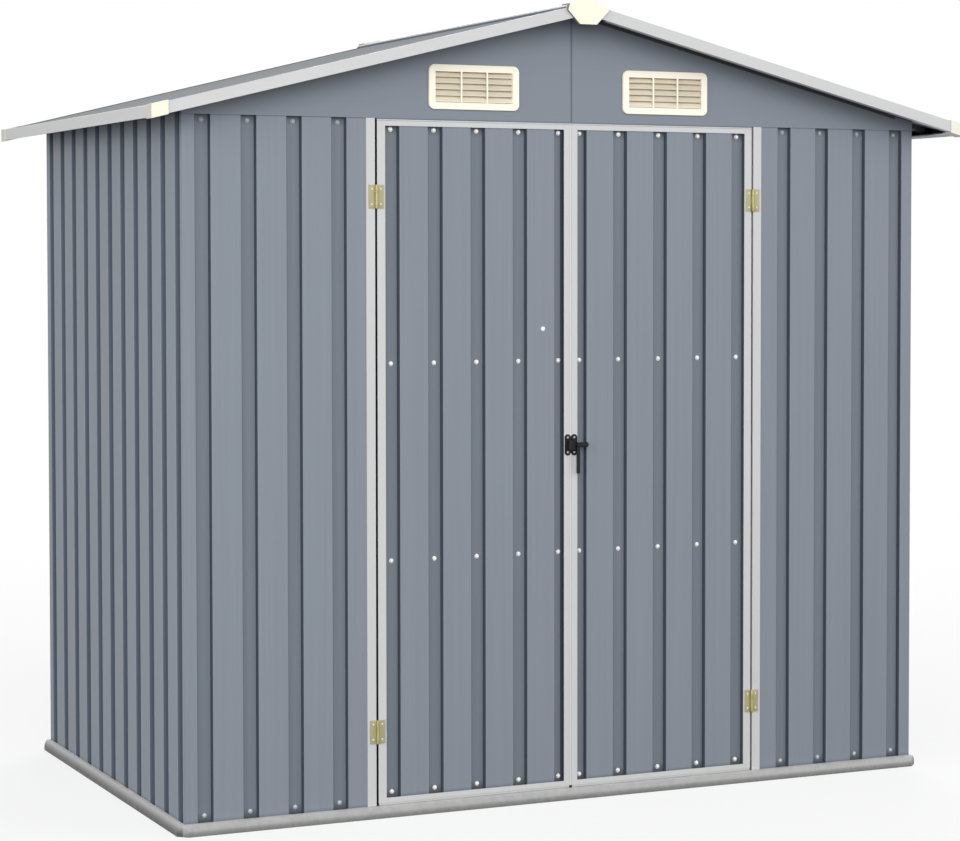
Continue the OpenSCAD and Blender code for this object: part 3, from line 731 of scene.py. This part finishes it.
@dataclass
class FoldedSheets:
    """The plain folded sheets: gables, trims with linings darkened as painted shade, jambs, stiles and door
    rails.
    """

    sheet: float = 1.2 * MM
    trim_fold: float = 3.0 * MM
    frame_fold: float = 1.8 * MM
    meeting_fold: float = 1.4 * MM
    rim: float = 0.5 * MM
    hem: float = 9 * MM
    lining_facing: float = 0.3

    def build(self) -> None:
        """Makes each folded piece."""
        gable_paint = wall_paint("gable", share=0.96, grain=Grain.ACROSS, spread=0.025)
        for node in ("gable_front_left", "gable_front_right", "gable_rear_left", "gable_rear_right"):
            work = Workpiece.from_node(f"{node}_sheet", node)
            work.round_edges(self.rim, segments=2, wanted=self.is_outer_rim)
            work.finish("shell", [gable_paint], node)
        rows = [
            ("front_rake_trims", "shell", TRIM_ACROSS, self.trim_fold),
            ("rear_rake_trims", "shell", TRIM_ACROSS, self.trim_fold),
            ("eave_trims", "shell", TRIM_EAVE, self.trim_fold),
            ("ridge_cap", "shell", RIDGE_PALE, self.frame_fold),
            ("door_jambs", "shell", TRIM_UPRIGHT, self.frame_fold),
        ]
        for side in ("left", "right"):
            rows += [
                (f"{side}_hinge_stile", f"{side}_door", TRIM_UPRIGHT, self.frame_fold),
                (f"{side}_meeting_stile", f"{side}_door", TRIM_UPRIGHT, self.meeting_fold),
                (f"{side}_door_rails", f"{side}_door", TRIM_ACROSS, self.frame_fold),
            ]
        for node, body, finish, fold in rows:
            work = Workpiece.from_node(f"{node}_fold", node)
            work.round_edges(fold, segments=3, wanted=lambda edge: is_bend(edge) and edge.is_convex)
            work.round_edges(
                fold - self.sheet, segments=3, wanted=lambda edge: is_bend(edge) and not edge.is_convex)
            finishes = [finish]
            if "trims" in node:
                self.line_trim(work, node)
                finishes += [SHADE_LINING, HEM_PAINTED_LIGHT]
            work.finish(body, finishes, node)

    def line_trim(self, work: Workpiece, node: str) -> None:
        """Marks a trim's lining, darkened as painted shade, and the hem at the foot of an eave trim's lining,
        whitened as painted light.

        Args:
            work: The trim's mesh.
            node: The trim's node.
        """
        eave = "eave" in node
        hem = UP * (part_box(node)[0].z + self.hem if eave else 0)
        work.cut(hem, UP)
        for face in work.bm.faces:
            face.material_index = TrimFace.OUTER
            if self.is_lining(face, 0 if eave else 1):
                above = face.calc_center_median().z > hem.z
                face.material_index = TrimFace.SHADE_LINING if above else TrimFace.HEM

    def is_lining(self, face: BMFace, axis: int) -> bool:
        """Whether a face of a trim looks inwards along an axis."""
        facing = face.normal[axis]
        return facing * face.calc_center_median()[axis] < 0 and abs(facing) > self.lining_facing

    @staticmethod
    def is_outer_rim(edge: BMEdge) -> bool:
        """Whether an edge is a sharp one on the rim of a plate."""
        return is_corner(edge) and max(face_widths(edge)) > RIM_WIDTH


class VentFace(IntEnum):
    """Faces of a vent that take their own finish."""

    BORDER = 0
    BLADE = 1
    BAR = 2


@dataclass
class Mouldings:
    """The cream plastic pieces: roof caps and louvred vents."""

    cap_round: float = 0.9 * MM
    cap_facing: float = 0.8
    apex_facing: Span = (0.9, 0.5)
    vent_round: float = 0.5 * MM
    vent_width: float = 214.5 * MM
    border: float = 15 * MM
    recess: float = 1 * MM
    top_blade: float = 52.7 * MM
    blade_lift: float = 4.3 * MM
    bar_area: float = 600 * MM * MM

    def build(self) -> None:
        """Makes each moulding."""
        work = Workpiece.from_node("corner_caps_moulding", "corner_caps")
        work.round_edges(self.cap_round, segments=2, wanted=is_corner)
        for face in work.bm.faces:
            # Legs that look sideways take the painted shade.
            face.material_index = int(abs(face.normal.x) > self.cap_facing)
        work.finish("shell", [CAP_CREAM, CAP_SHADED_SIDE], "corner_caps")
        work = Workpiece.from_node("apex_caps_moulding", "apex_caps")
        work.round_edges(self.vent_round, segments=2, wanted=is_corner)
        front, top = self.apex_facing
        for face in work.bm.faces:
            # Tapered faces take the painted contact shadow.
            face.material_index = int(abs(face.normal.y) < front and face.normal.z < top)
        work.finish("shell", [CREAM, APEX_SHADED_EDGE], "apex_caps")
        for node in ("front_vents", "rear_vents"):
            work = Workpiece.from_node(f"{node}_moulding", node)
            self.spread_blades(work.bm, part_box(node))
            work.round_edges(self.vent_round, segments=2, wanted=is_corner)
            self.paint_blades(work.bm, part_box(node))
            work.finish("shell", [VENT_CREAM, BLADE_PAINTED_SHADE, BAR_CREAM], node)

    def spread_blades(self, bm: BMesh, box: Box) -> None:
        """Spreads the vents' blades evenly over their openings.

        Args:
            bm: The vents' mesh.
            box: Low and high corner of the vents.
        """
        foot, head = box[0].z + self.border, box[1].z - self.border
        above = head - foot - self.top_blade
        for vert in bm.verts:
            rise, room = vert.co.z - foot, head - vert.co.z
            if rise > 0 and room > 0:
                vert.co.z += self.blade_lift * min(rise / self.top_blade, room / above)

    def paint_blades(self, bm: BMesh, box: Box) -> None:
        """Gives what lies inside the vents' borders the blades' painted shade, or the bars' tone at their
        front.

        Args:
            bm: The vents' mesh.
            box: Low and high corner of the vents.
        """
        low, high = box
        front = max(abs(low.y), abs(high.y)) - self.recess
        for face in bm.faces:
            middle = face.calc_center_median()
            inside = low.z + self.border < middle.z < high.z - self.border
            beside = high.x - self.vent_width + self.border < abs(middle.x) < high.x - self.border
            if inside and beside:
                at_front = VentFace.BAR if face.calc_area() < self.bar_area else VentFace.BORDER
                face.material_index = VentFace.BLADE if abs(middle.y) < front else at_front


@dataclass
class PlainMetal:
    """Rails, beams, hinges and the latch; the rails and the latch with lightly broken edges."""

    rail_edge: float = 0.3 * MM
    plate_edge: float = 0.6 * MM
    handle_edge: float = 0.8 * MM
    knuckle: float = 3.6 * MM
    rod: Span = (10.5 * MM, 28 * MM)
    plate_waist: float = 12.5 * MM
    plate_side: float = 15.25 * MM
    plate_rows: float = 16.6 * MM

    def build(self) -> None:
        """Makes each piece."""
        for side, finish in (("front", RAIL), ("rear", RAIL), ("left", FLANK_RAIL), ("right", FLANK_RAIL)):
            work = Workpiece.from_node(f"base_{side}_rail", f"base_{side}")
            work.round_edges(self.rail_edge, segments=2, wanted=is_corner)
            work.finish("shell", [finish], f"base_{side}")
        for node, body in (("latch_keeper", "left_door"), ("latch_body", "right_door")):
            work = Workpiece.from_node(f"{node}_part", node)
            self.straighten(work.bm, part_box(node))
            work.round_edges(self.plate_edge, segments=2, wanted=is_corner)
            work.finish(body, [BLACK], node)
        work = Workpiece.from_node("latch_handle_part", "latch_handle")
        work.round_edges(self.handle_edge, segments=2, wanted=is_corner)
        for face in work.bm.faces:
            face.material_index = int(self.rod[0] < face.calc_center_median().x < self.rod[1])
        work.finish("handle", [BLACK, GRIP], "latch_handle")
        for side in ("left", "right"):
            self.hinge(f"{side}_hinge_frame_leaves", "shell")
            self.hinge(f"{side}_hinge_door_leaves", f"{side}_door")
        for node in ("top_rail_front", "top_rail_rear", "side_top_rails", "ridge_beam", "door_header"):
            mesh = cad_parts[node].data
            mesh.materials.clear()
            mesh.materials.append(FRAME_ZINC.material())
            LOG.info("%s: finish only", node)

    def straighten(self, bm: BMesh, box: Box) -> None:
        """Takes the waist out of a latch plate's outer side.

        Args:
            bm: The plate's mesh.
            box: Low and high corner of the plate.
        """
        middle = (box[0].z + box[1].z) / 2
        for vert in bm.verts:
            if abs(vert.co.x) > self.plate_waist and abs(vert.co.z - middle) < self.plate_rows:
                vert.co.x = math.copysign(self.plate_side, vert.co.x)

    def hinge(self, node: str, body: str) -> None:
        """Makes the leaves on one side of a door's hinges.

        Args:
            node: The leaves' node.
            body: The body that they ride on.
        """
        low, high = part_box(node)
        at_high = ("left" in node) == ("frame" in node)
        pin = high.x - self.knuckle if at_high else low.x + self.knuckle
        work = Workpiece.from_node(f"{node}_part", node, whole=False)
        for face in work.bm.faces:
            face.material_index = int(abs(face.calc_center_median().x - pin) > self.knuckle)
        work.finish(body, [KNUCKLE, LEAF], node)


LIP: Profile = ((0, 0), (0.93, 0), (1, 0.08), (1, 0.6), (0.3, 1), (0, 1))
GASKET: Profile = ((0, 0), (0.6, 0), (1, 0.06), (1, 0.94), (0, 1))


@dataclass
class Seals:
    """Soft strips in the gaps round the doors, and beads of sealant on the gable and the ridge; some are dark
    as painted shade.
    """

    clear: float = 0.3 * MM
    head_clear: float = 0.4 * MM
    holder: float = 2.4 * MM
    depth: float = 5 * MM
    gasket: float = 1.2 * MM
    gasket_depth: float = 17 * MM
    gasket_drop: float = 4 * MM
    gasket_set: float = 1 * MM
    bead: float = 4.4 * MM
    bead_aside: float = 1.4 * MM
    bead_rise: float = 0.5 * MM
    bead_shoulder: Span = (0.3, 0.8)
    bead_toe: float = 0.5
    bead_sink: float = 0.1 * MM
    strip: float = 6.5 * MM
    strip_t: float = 2.5 * MM
    strip_ends: Span = (2 * MM, 850 * MM)
    steps: int = 6

    def build(self) -> None:
        """Makes each strip."""
        self.meeting_seal()
        self.head_seal()
        for side, sign in (("left", -1), ("right", 1)):
            self.hinge_gasket(f"{side}_hinge_stile", f"{side}_door", sign)
            self.sill_seal(f"{side}_door_rails", f"{side}_door")
        self.beads()
        for side, sign in (("left", -1), ("right", 1)):
            self.closure_strip(f"gable_front_{side}", sign, FRONT)
            self.closure_strip(f"gable_rear_{side}", sign, REAR)

    def half_round(self, middle: Vector, across: Vector, out: Vector) -> list[Vector]:
        """Outline of a strip with a round front, from the middle and half of its flat back and its rise."""
        turns = [math.pi * step / self.steps for step in range(self.steps + 1)]
        return [middle + across * math.cos(turn) + out * math.sin(turn) for turn in turns]

    @staticmethod
    def shaped(profile: Profile, root: Vector, out: Vector, back: Vector) -> list[Vector]:
        """Outline of a strip, from the shares of its reach and its depth at each corner."""
        return [root + out * reach + back * depth for reach, depth in profile]

    def meeting_seal(self) -> None:
        """Makes the strip along the left door's meeting edge."""
        low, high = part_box("left_meeting_stile")
        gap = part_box("right_meeting_stile")[0].x - high.x
        root = Vector((high.x, low.y, low.z))
        work = Workpiece("meeting_seal")
        outline = self.shaped(LIP, root, RIGHT * (gap - self.clear), REAR * self.depth)
        work.add_bar(outline, UP * (high.z - low.z))
        work.finish("left_door", [PALE_SEAL])

    def head_seal(self) -> None:
        """Makes the strip that hangs from the header over the doors, and its holder in a darker copy of the
        wall's colour, as painted shade above the doors.
        """
        low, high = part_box("left_hinge_stile")
        head = Vector((low.x, low.y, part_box("door_header")[0].z))
        across, back, drop = RIGHT * -2 * low.x, REAR * self.depth, UP * -self.holder
        holder = Workpiece("head_seal_holder")
        holder.add_bar([head, head + drop, head + drop + back, head + back], across)
        # Painted shade: the holder's paint is darkened to stand for the shadow line between the gable and the
        # seal.
        holder.finish("shell", [wall_paint("holder", share=0.7, grain=Grain.ACROSS, spread=0.02)])
        root = head + drop
        seal = Workpiece("head_seal")
        seal.add_bar(self.shaped(LIP, root, UP * (high.z + self.head_clear - root.z), back), across)
        seal.finish("shell", [PALE_SEAL])

    def sill_seal(self, rails: str, body: str) -> None:
        """Makes the strip under a door.

        Args:
            rails: The node of the door's rails.
            body: The door.
        """
        low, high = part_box(rails)
        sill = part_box("base_front")[1].z
        work = Workpiece(f"{body}_sill_seal")
        outline = self.shaped(LIP, low, UP * (sill + self.clear - low.z), REAR * self.depth)
        work.add_bar(outline, RIGHT * (high.x - low.x))
        work.finish(body, [SILL_SEAL])

    def hinge_gasket(self, stile: str, body: str, sign: int) -> None:
        """Makes the black rubber strip on the web of a hinge stile, which also keeps the hinge gap dark as
        painted shade.

        Args:
            stile: The stile's node.
            body: The door.
            sign: 1 where the web is on the right, or -1.
        """
        low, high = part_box(stile)
        web = Vector((high.x if sign > 0 else low.x, low.y + self.gasket_set, low.z - self.gasket_drop))
        outline = self.shaped(GASKET, web, RIGHT * sign * self.gasket, REAR * self.gasket_depth)
        work = Workpiece(f"{body}_gasket")
        work.add_bar(outline, UP * (high.z - low.z + self.gasket_drop))
        work.finish(body, [RUBBER_AND_SHADE])

    def beads(self) -> None:
        """Makes the beads over the gables' seams and along the ridge cap's foot; the ridge's beads stand in
        for the shade under the cap's lip.
        """
        work = Workpiece("sealant_beads")
        low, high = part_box("gable_front_left")
        for out, back in ((FRONT, low.y), (REAR, -low.y)):
            outline = self.half_round(
                Vector((self.bead_aside, back, low.z)), RIGHT * self.bead / 2, out * self.bead_rise)
            work.add_bar(outline, UP * (high.z - low.z - 2 * self.bead))
        low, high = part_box("ridge_cap")
        for out, foot in ((LEFT, low), (RIGHT, Vector((high.x, low.y, low.z)))):
            reach, rise = out * self.bead, UP * self.bead
            shoulder = foot + reach * self.bead_shoulder[0] + rise * self.bead_shoulder[1]
            toe = foot + reach * self.bead_toe - UP * self.bead_sink
            work.add_bar([foot, foot + rise, shoulder, toe], REAR * (high.y - low.y))
        work.finish("shell", [SEALANT_AND_SHADE])

    def closure_strip(self, gable: str, sign: int, out: Vector) -> None:
        """Makes the foam strip along the top of a gable, under the roof, dark as painted shade in the gap
        there.

        Args:
            gable: The gable's node.
            sign: 1 for a gable on the right, or -1.
            out: The way that the gable faces.
        """
        fall = math.tan(ROOF_PITCH)
        top = max(v.co.z + abs(v.co.x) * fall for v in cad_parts[gable].data.vertices)
        low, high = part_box(gable)
        face = low.y if out.y < 0 else high.y
        inner, outer = (Vector((sign * x, face, top - x * fall)) for x in self.strip_ends)
        drop = UP * -self.strip
        work = Workpiece(f"{gable}_closure_strip")
        work.add_bar([inner, outer, outer + drop, inner + drop], out * self.strip_t)
        work.finish("shell", [FOAM_AND_SHADE])


@dataclass
class LatchTongue:
    """The dark tongue that joins the two halves of the latch."""

    clear: float = 0.35 * MM
    plate: float = 1.8 * MM
    plate_half: float = 19.4 * MM
    barrel_half: float = 10.4 * MM
    barrel_front: float = 13.6 * MM
    chamfer: float = 1 * MM

    def build(self) -> None:
        """Makes the tongue on the right door."""
        body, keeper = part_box("latch_body"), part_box("latch_keeper")
        left, right = keeper[1].x + self.clear, body[0].x
        back, middle = body[1].y, (body[0].z + body[1].z) / 2
        half = [
            (0, self.plate_half),
            (self.plate, self.plate_half - self.chamfer),
            (self.plate, self.barrel_half),
            (self.barrel_front - self.chamfer, self.barrel_half),
            (self.barrel_front, self.barrel_half - self.chamfer),
        ]
        profile = [(out, -up) for out, up in half] + half[::-1]
        work = Workpiece("latch_tongue")
        work.add_bar([Vector((left, back - out, middle + up)) for out, up in profile], RIGHT * (right - left))
        work.finish("right_door", [BLACK])


DOME: Profile = ((0.93, 0.55), (0.7, 0.83), (0.3, 1), (0.24, 0.8), (0, 0.8))


@dataclass(frozen=True)
class Screw:
    """A dome-headed screw on a washer, turned from one profile."""

    name: str
    finish: Finish
    head: float
    height: float
    washer: float
    washer_t: float = 0.8 * MM
    steps: int = 14

    def mesh(self) -> bpy.types.Mesh:
        """Turns the screw about Z, standing on the origin.

        Returns:
            The screw's mesh.
        """
        r, rim = self.head / 2, self.washer / 2
        points = [(0, 0), (rim, 0), (rim, self.washer_t), (r, self.washer_t)]
        points += [(across * r, up * self.height) for across, up in DOME]
        bm = bmesh.new()
        verts = [bm.verts.new((x, 0, z)) for x, z in points]
        edges = [bm.edges.new(pair) for pair in zip(verts, verts[1:])]
        bmesh.ops.spin(
            bm, geom=verts + edges, cent=(0, 0, 0), axis=(0, 0, 1), dvec=(0, 0, 0),
            angle=math.tau, steps=self.steps, use_merge=True, use_duplicate=False)
        bmesh.ops.remove_doubles(bm, verts=bm.verts, dist=WELD)
        bmesh.ops.recalc_face_normals(bm, faces=bm.faces)
        mesh = bpy.data.meshes.new(self.name)
        bm.to_mesh(mesh)
        bm.free()
        return mesh


DOOR_SCREW = Screw("door", WHITE_SCREW, 9 * MM, 4.2 * MM, 10.5 * MM)
WALL_SCREW = Screw("wall", ZINC_SCREW, 8.8 * MM, 3.4 * MM, 10.2 * MM)
HINGE_SCREW = Screw("hinge", BRASS_SCREW, 4.8 * MM, 1.2 * MM, 5.2 * MM, 0.3 * MM)
LATCH_SCREW = Screw("latch", DULL_SCREW, 4.8 * MM, 1.5 * MM, 5.2 * MM, 0.3 * MM)

Spot = tuple[Vector, Vector]


@dataclass
class Fasteners:
    """All the screws, one piece for each kind on each body."""

    cladding: Cladding
    door_rows: tuple[float, ...] = (51.5 * MM, 556.7 * MM, 985.7 * MM, 1492.5 * MM)
    wall_rows: tuple[float, ...] = (38 * MM, 1505 * MM)
    roof_rows: tuple[float, ...] = (75 * MM, 480 * MM, 880 * MM)
    lone_screw: Span = (-68 * MM, 1057 * MM)
    meeting_side: Span = (40 * MM, 3.5 * MM)
    hinge_rows: float = 16.5 * MM
    hinge_across: float = 10.2 * MM
    hinge_half: float = 25.5 * MM
    hinge_leaf: float = 1.5 * MM
    latch_rows: float = 16.6 * MM
    latch_across: float = 8 * MM
    latch_plate: float = 2 * MM
    places: dict[tuple[str, Screw], list[Spot]] = field(default_factory=dict)

    def build(self) -> None:
        """Sets the screws out and makes the pieces."""
        for sheet in self.cladding.sheets.values():
            self.set_out(sheet)
        lone = Vector((self.lone_screw[0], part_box("left_door_panel")[0].y, self.lone_screw[1]))
        self.place("left_door", DOOR_SCREW, lone, FRONT)
        self.set_out_hinges()
        self.set_out_latch()
        for (body, screw), spots in self.places.items():
            unit = screw.mesh()
            work = Workpiece(f"{body}_{screw.name}_screws")
            for spot, outward in spots:
                self.add(work.bm, unit, spot, outward)
            work.finish(body, [screw.finish])
            bpy.data.meshes.remove(unit)

    def place(self, body: str, screw: Screw, spot: Vector, outward: Vector) -> None:
        """Notes one screw of a kind on a body: where it stands, and which way its head points."""
        self.places.setdefault((body, screw), []).append((spot, outward))

    def set_out(self, sheet: GroovedSheet) -> None:
        """Notes the screws in the grooves of a sheet.

        Args:
            sheet: The sheet.
        """
        facing = sheet.outward
        for floor in sheet.floors:
            if sheet.node.startswith("roof"):
                for row in self.roof_rows:
                    x = math.copysign(row, facing.x)
                    spot = Vector((x, floor.y, floor.z - (x - floor.x) * facing.x / facing.z))
                    self.place(sheet.body, WALL_SCREW, spot, facing)
                continue
            if sheet.body == "shell":
                for z in self.wall_rows:
                    self.place(sheet.body, WALL_SCREW, Vector((floor.x, floor.y, z)), facing)
                continue
            reach, aside = self.meeting_side
            x = floor.x + math.copysign(aside, floor.x) * (abs(floor.x) < reach)
            for z in self.door_rows:
                self.place(sheet.body, DOOR_SCREW, Vector((x, floor.y, z)), facing)

    def set_out_hinges(self) -> None:
        """Notes the four screws of each hinge."""
        for side, sign in (("left", -1), ("right", 1)):
            jamb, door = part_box(f"{side}_hinge_frame_leaves"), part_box(f"{side}_hinge_door_leaves")
            pin = (min(jamb[0].x, door[0].x) + max(jamb[1].x, door[1].x)) / 2
            face = jamb[1].y - self.hinge_leaf
            for z in (jamb[0].z + self.hinge_half, jamb[1].z - self.hinge_half):
                for row in (-self.hinge_rows, self.hinge_rows):
                    out = Vector((pin + sign * self.hinge_across, face, z + row))
                    inner = Vector((pin - sign * self.hinge_across, face, z + row))
                    self.place("shell", HINGE_SCREW, out, FRONT)
                    self.place(f"{side}_door", HINGE_SCREW, inner, FRONT)

    def set_out_latch(self) -> None:
        """Notes the four screws of the latch."""
        low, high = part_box("latch_body")
        middle = (low.z + high.z) / 2
        face = high.y - self.latch_plate
        for row in (-self.latch_rows, self.latch_rows):
            for body, x in (("left_door", -self.latch_across), ("right_door", self.latch_across)):
                self.place(body, LATCH_SCREW, Vector((x, face, middle + row)), FRONT)

    @staticmethod
    def add(bm: BMesh, unit: bpy.types.Mesh, spot: Vector, outward: Vector) -> None:
        """Adds one screw to a mesh.

        Args:
            bm: The mesh.
            unit: The screw's own mesh.
            spot: Where it stands.
            outward: Which way its head points.
        """
        start = len(bm.verts)
        bm.from_mesh(unit)
        bm.verts.ensure_lookup_table()
        turn = UP.rotation_difference(outward).to_matrix().to_4x4()
        bmesh.ops.transform(bm, matrix=Matrix.Translation(spot) @ turn, verts=bm.verts[start:])


@dataclass(frozen=True)
class Lamp:
    """A large soft lamp, with its place, the length of its sides and its power in watts."""

    name: str
    place: Place
    size: float
    watts: float

    def build(self, target: Vector) -> None:
        """Hangs the lamp so that it points at a target.

        Args:
            target: The target.
        """
        data = bpy.data.lights.new(self.name, "AREA")
        data.size = self.size
        data.energy = self.watts
        lamp = bpy.data.objects.new(self.name, data)
        lamp.location = self.place
        lamp.rotation_euler = (target - Vector(self.place)).to_track_quat("-Z", "Y").to_euler()
        bpy.context.scene.collection.objects.link(lamp)


@dataclass
class Studio:
    """A pale floor, soft light and the camera at the photograph's viewing angle."""

    eye: Place = (-2.5766, -5.8734, 1.2228)
    yaw: float = math.radians(25.67)
    pitch: float = math.radians(2.15)
    lens: float = 99.37
    shift: Span = (-0.0877, -0.0695)
    sensor: float = 36
    far: float = 200
    lamps: tuple[Lamp, ...] = (
        Lamp("key", (-2.2, -6.6, 2.9), 4.5, 248),
        Lamp("side", (-6.4, -2.6, 1.9), 4.0, 184),
        Lamp("fill", (4.6, -5.2, 3.0), 4.0, 125),
        Lamp("rear", (3.5, 6.5, 4.5), 4.0, 230),
    )
    aim: float = 0.8
    sky: float = 0.5
    floor_radius: float = 80
    floor_sides: int = 64
    floor_rough: float = 0.9
    floor_specular: float = 0.1
    floor_grey: float = 0.14
    floor_white: float = 0.92
    floor_glow: float = 0.75
    shadow_reach: Span = (1.6, 5.0)
    room: Span = (0.885, 0.53)

    def build(self) -> None:
        """Sets up the view, the world, the lamps and the floor."""
        scene = bpy.context.scene
        scene.view_settings.view_transform = "Standard"
        data = bpy.data.cameras.new("camera")
        data.lens = self.lens
        data.sensor_width = self.sensor
        data.shift_x, data.shift_y = self.shift
        data.clip_end = self.far
        camera = bpy.data.objects.new("camera", data)
        camera.location = self.eye
        camera.rotation_euler = (math.pi / 2 - self.pitch, 0, -self.yaw)
        scene.collection.objects.link(camera)
        scene.camera = camera
        self.world(scene)
        for lamp in self.lamps:
            lamp.build(UP * self.aim)
        self.floor(scene)

    @staticmethod
    def seen(tree: bpy.types.NodeTree) -> Socket:
        """Adds nodes that tell rays which show the background from rays that light the object.

        Args:
            tree: The node tree.

        Returns:
            A socket that is 1 for rays from the camera, mirrors and glass.
        """
        path = tree.nodes.new("ShaderNodeLightPath")
        total = path.outputs["Is Camera Ray"]
        for name in ("Is Glossy Ray", "Is Transmission Ray"):
            add = tree.nodes.new("ShaderNodeMath")
            add.operation = "MAXIMUM"
            tree.links.new(total, add.inputs[0])
            tree.links.new(path.outputs[name], add.inputs[1])
            total = add.outputs[0]
        return total

    def world(self, scene: bpy.types.Scene) -> None:
        """Lights the scene with an even sky that looks white.

        Args:
            scene: The scene.
        """
        world = bpy.data.worlds.new("studio")
        world.use_nodes = True
        scene.world = world
        tree = world.node_tree
        lit = tree.nodes["Background"]
        lit.inputs["Color"].default_value = (1, 1, 1, 1)
        lit.inputs["Strength"].default_value = self.sky
        shown = tree.nodes.new("ShaderNodeBackground")
        shown.inputs["Color"].default_value = (1, 1, 1, 1)
        shown.inputs["Strength"].default_value = 1.0
        mix = tree.nodes.new("ShaderNodeMixShader")
        tree.links.new(self.seen(tree), mix.inputs[0])
        tree.links.new(lit.outputs[0], mix.inputs[1])
        tree.links.new(shown.outputs[0], mix.inputs[2])
        tree.links.new(mix.outputs[0], tree.nodes["World Output"].inputs["Surface"])

    def floor(self, scene: bpy.types.Scene) -> None:
        """Lays the pale floor, which keeps a soft shadow and isn't brightened inside the shed.

        Args:
            scene: The scene.
        """
        bm = bmesh.new()
        bmesh.ops.create_circle(bm, cap_ends=True, segments=self.floor_sides, radius=self.floor_radius)
        mesh = bpy.data.meshes.new("floor")
        bm.to_mesh(mesh)
        bm.free()
        bench = NodeBench("floor")
        shader, seen = bench.shader, self.seen(bench.tree)
        grey, white = ((tone,) * 3 + (1,) for tone in (self.floor_grey, self.floor_white))
        bench.feed(shader.inputs["Base Color"], bench.blend(grey, white, seen))
        shader.inputs["Roughness"].default_value = self.floor_rough
        shader.inputs["Specular IOR Level"].default_value = self.floor_specular
        away = bench.node("ShaderNodeVectorMath", {0: bench.coords()}, "LENGTH")
        glow = bench.remap(away.outputs["Value"], self.shadow_reach, (self.floor_glow, 1.0))
        inside_one = bench.coords((1 / self.room[0], 1 / self.room[1], 0))
        across = bench.node("ShaderNodeVectorMath", {0: inside_one}, "ABSOLUTE")
        split = bench.node("ShaderNodeSeparateXYZ", {"Vector": across.outputs["Vector"]})
        farther = bench.reckon("MAXIMUM", split.outputs["X"], split.outputs["Y"])
        outside = bench.reckon("GREATER_THAN", farther, 1.0)
        share = bench.reckon("MULTIPLY", bench.reckon("MULTIPLY", seen, glow), outside)
        bright = bench.node("ShaderNodeEmission", {})
        mix = bench.node("ShaderNodeMixShader", {0: share, 1: shader.outputs[0], 2: bright.outputs[0]})
        bench.feed(bench.tree.nodes["Material Output"].inputs["Surface"], mix.outputs[0])
        mesh.materials.append(bench.material)
        floor = bpy.data.objects.new("floor", mesh)
        scene.collection.objects.link(floor)


def main() -> None:
    """Builds the shed's looks."""
    logging.basicConfig(level=logging.INFO, format="%(name)s: %(message)s")
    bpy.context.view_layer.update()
    Studio().build()
    cladding = Cladding()
    cladding.build()
    FoldedSheets().build()
    Mouldings().build()
    PlainMetal().build()
    Seals().build()
    LatchTongue().build()
    Fasteners(cladding).build()


if __name__ == "__main__":
    main()
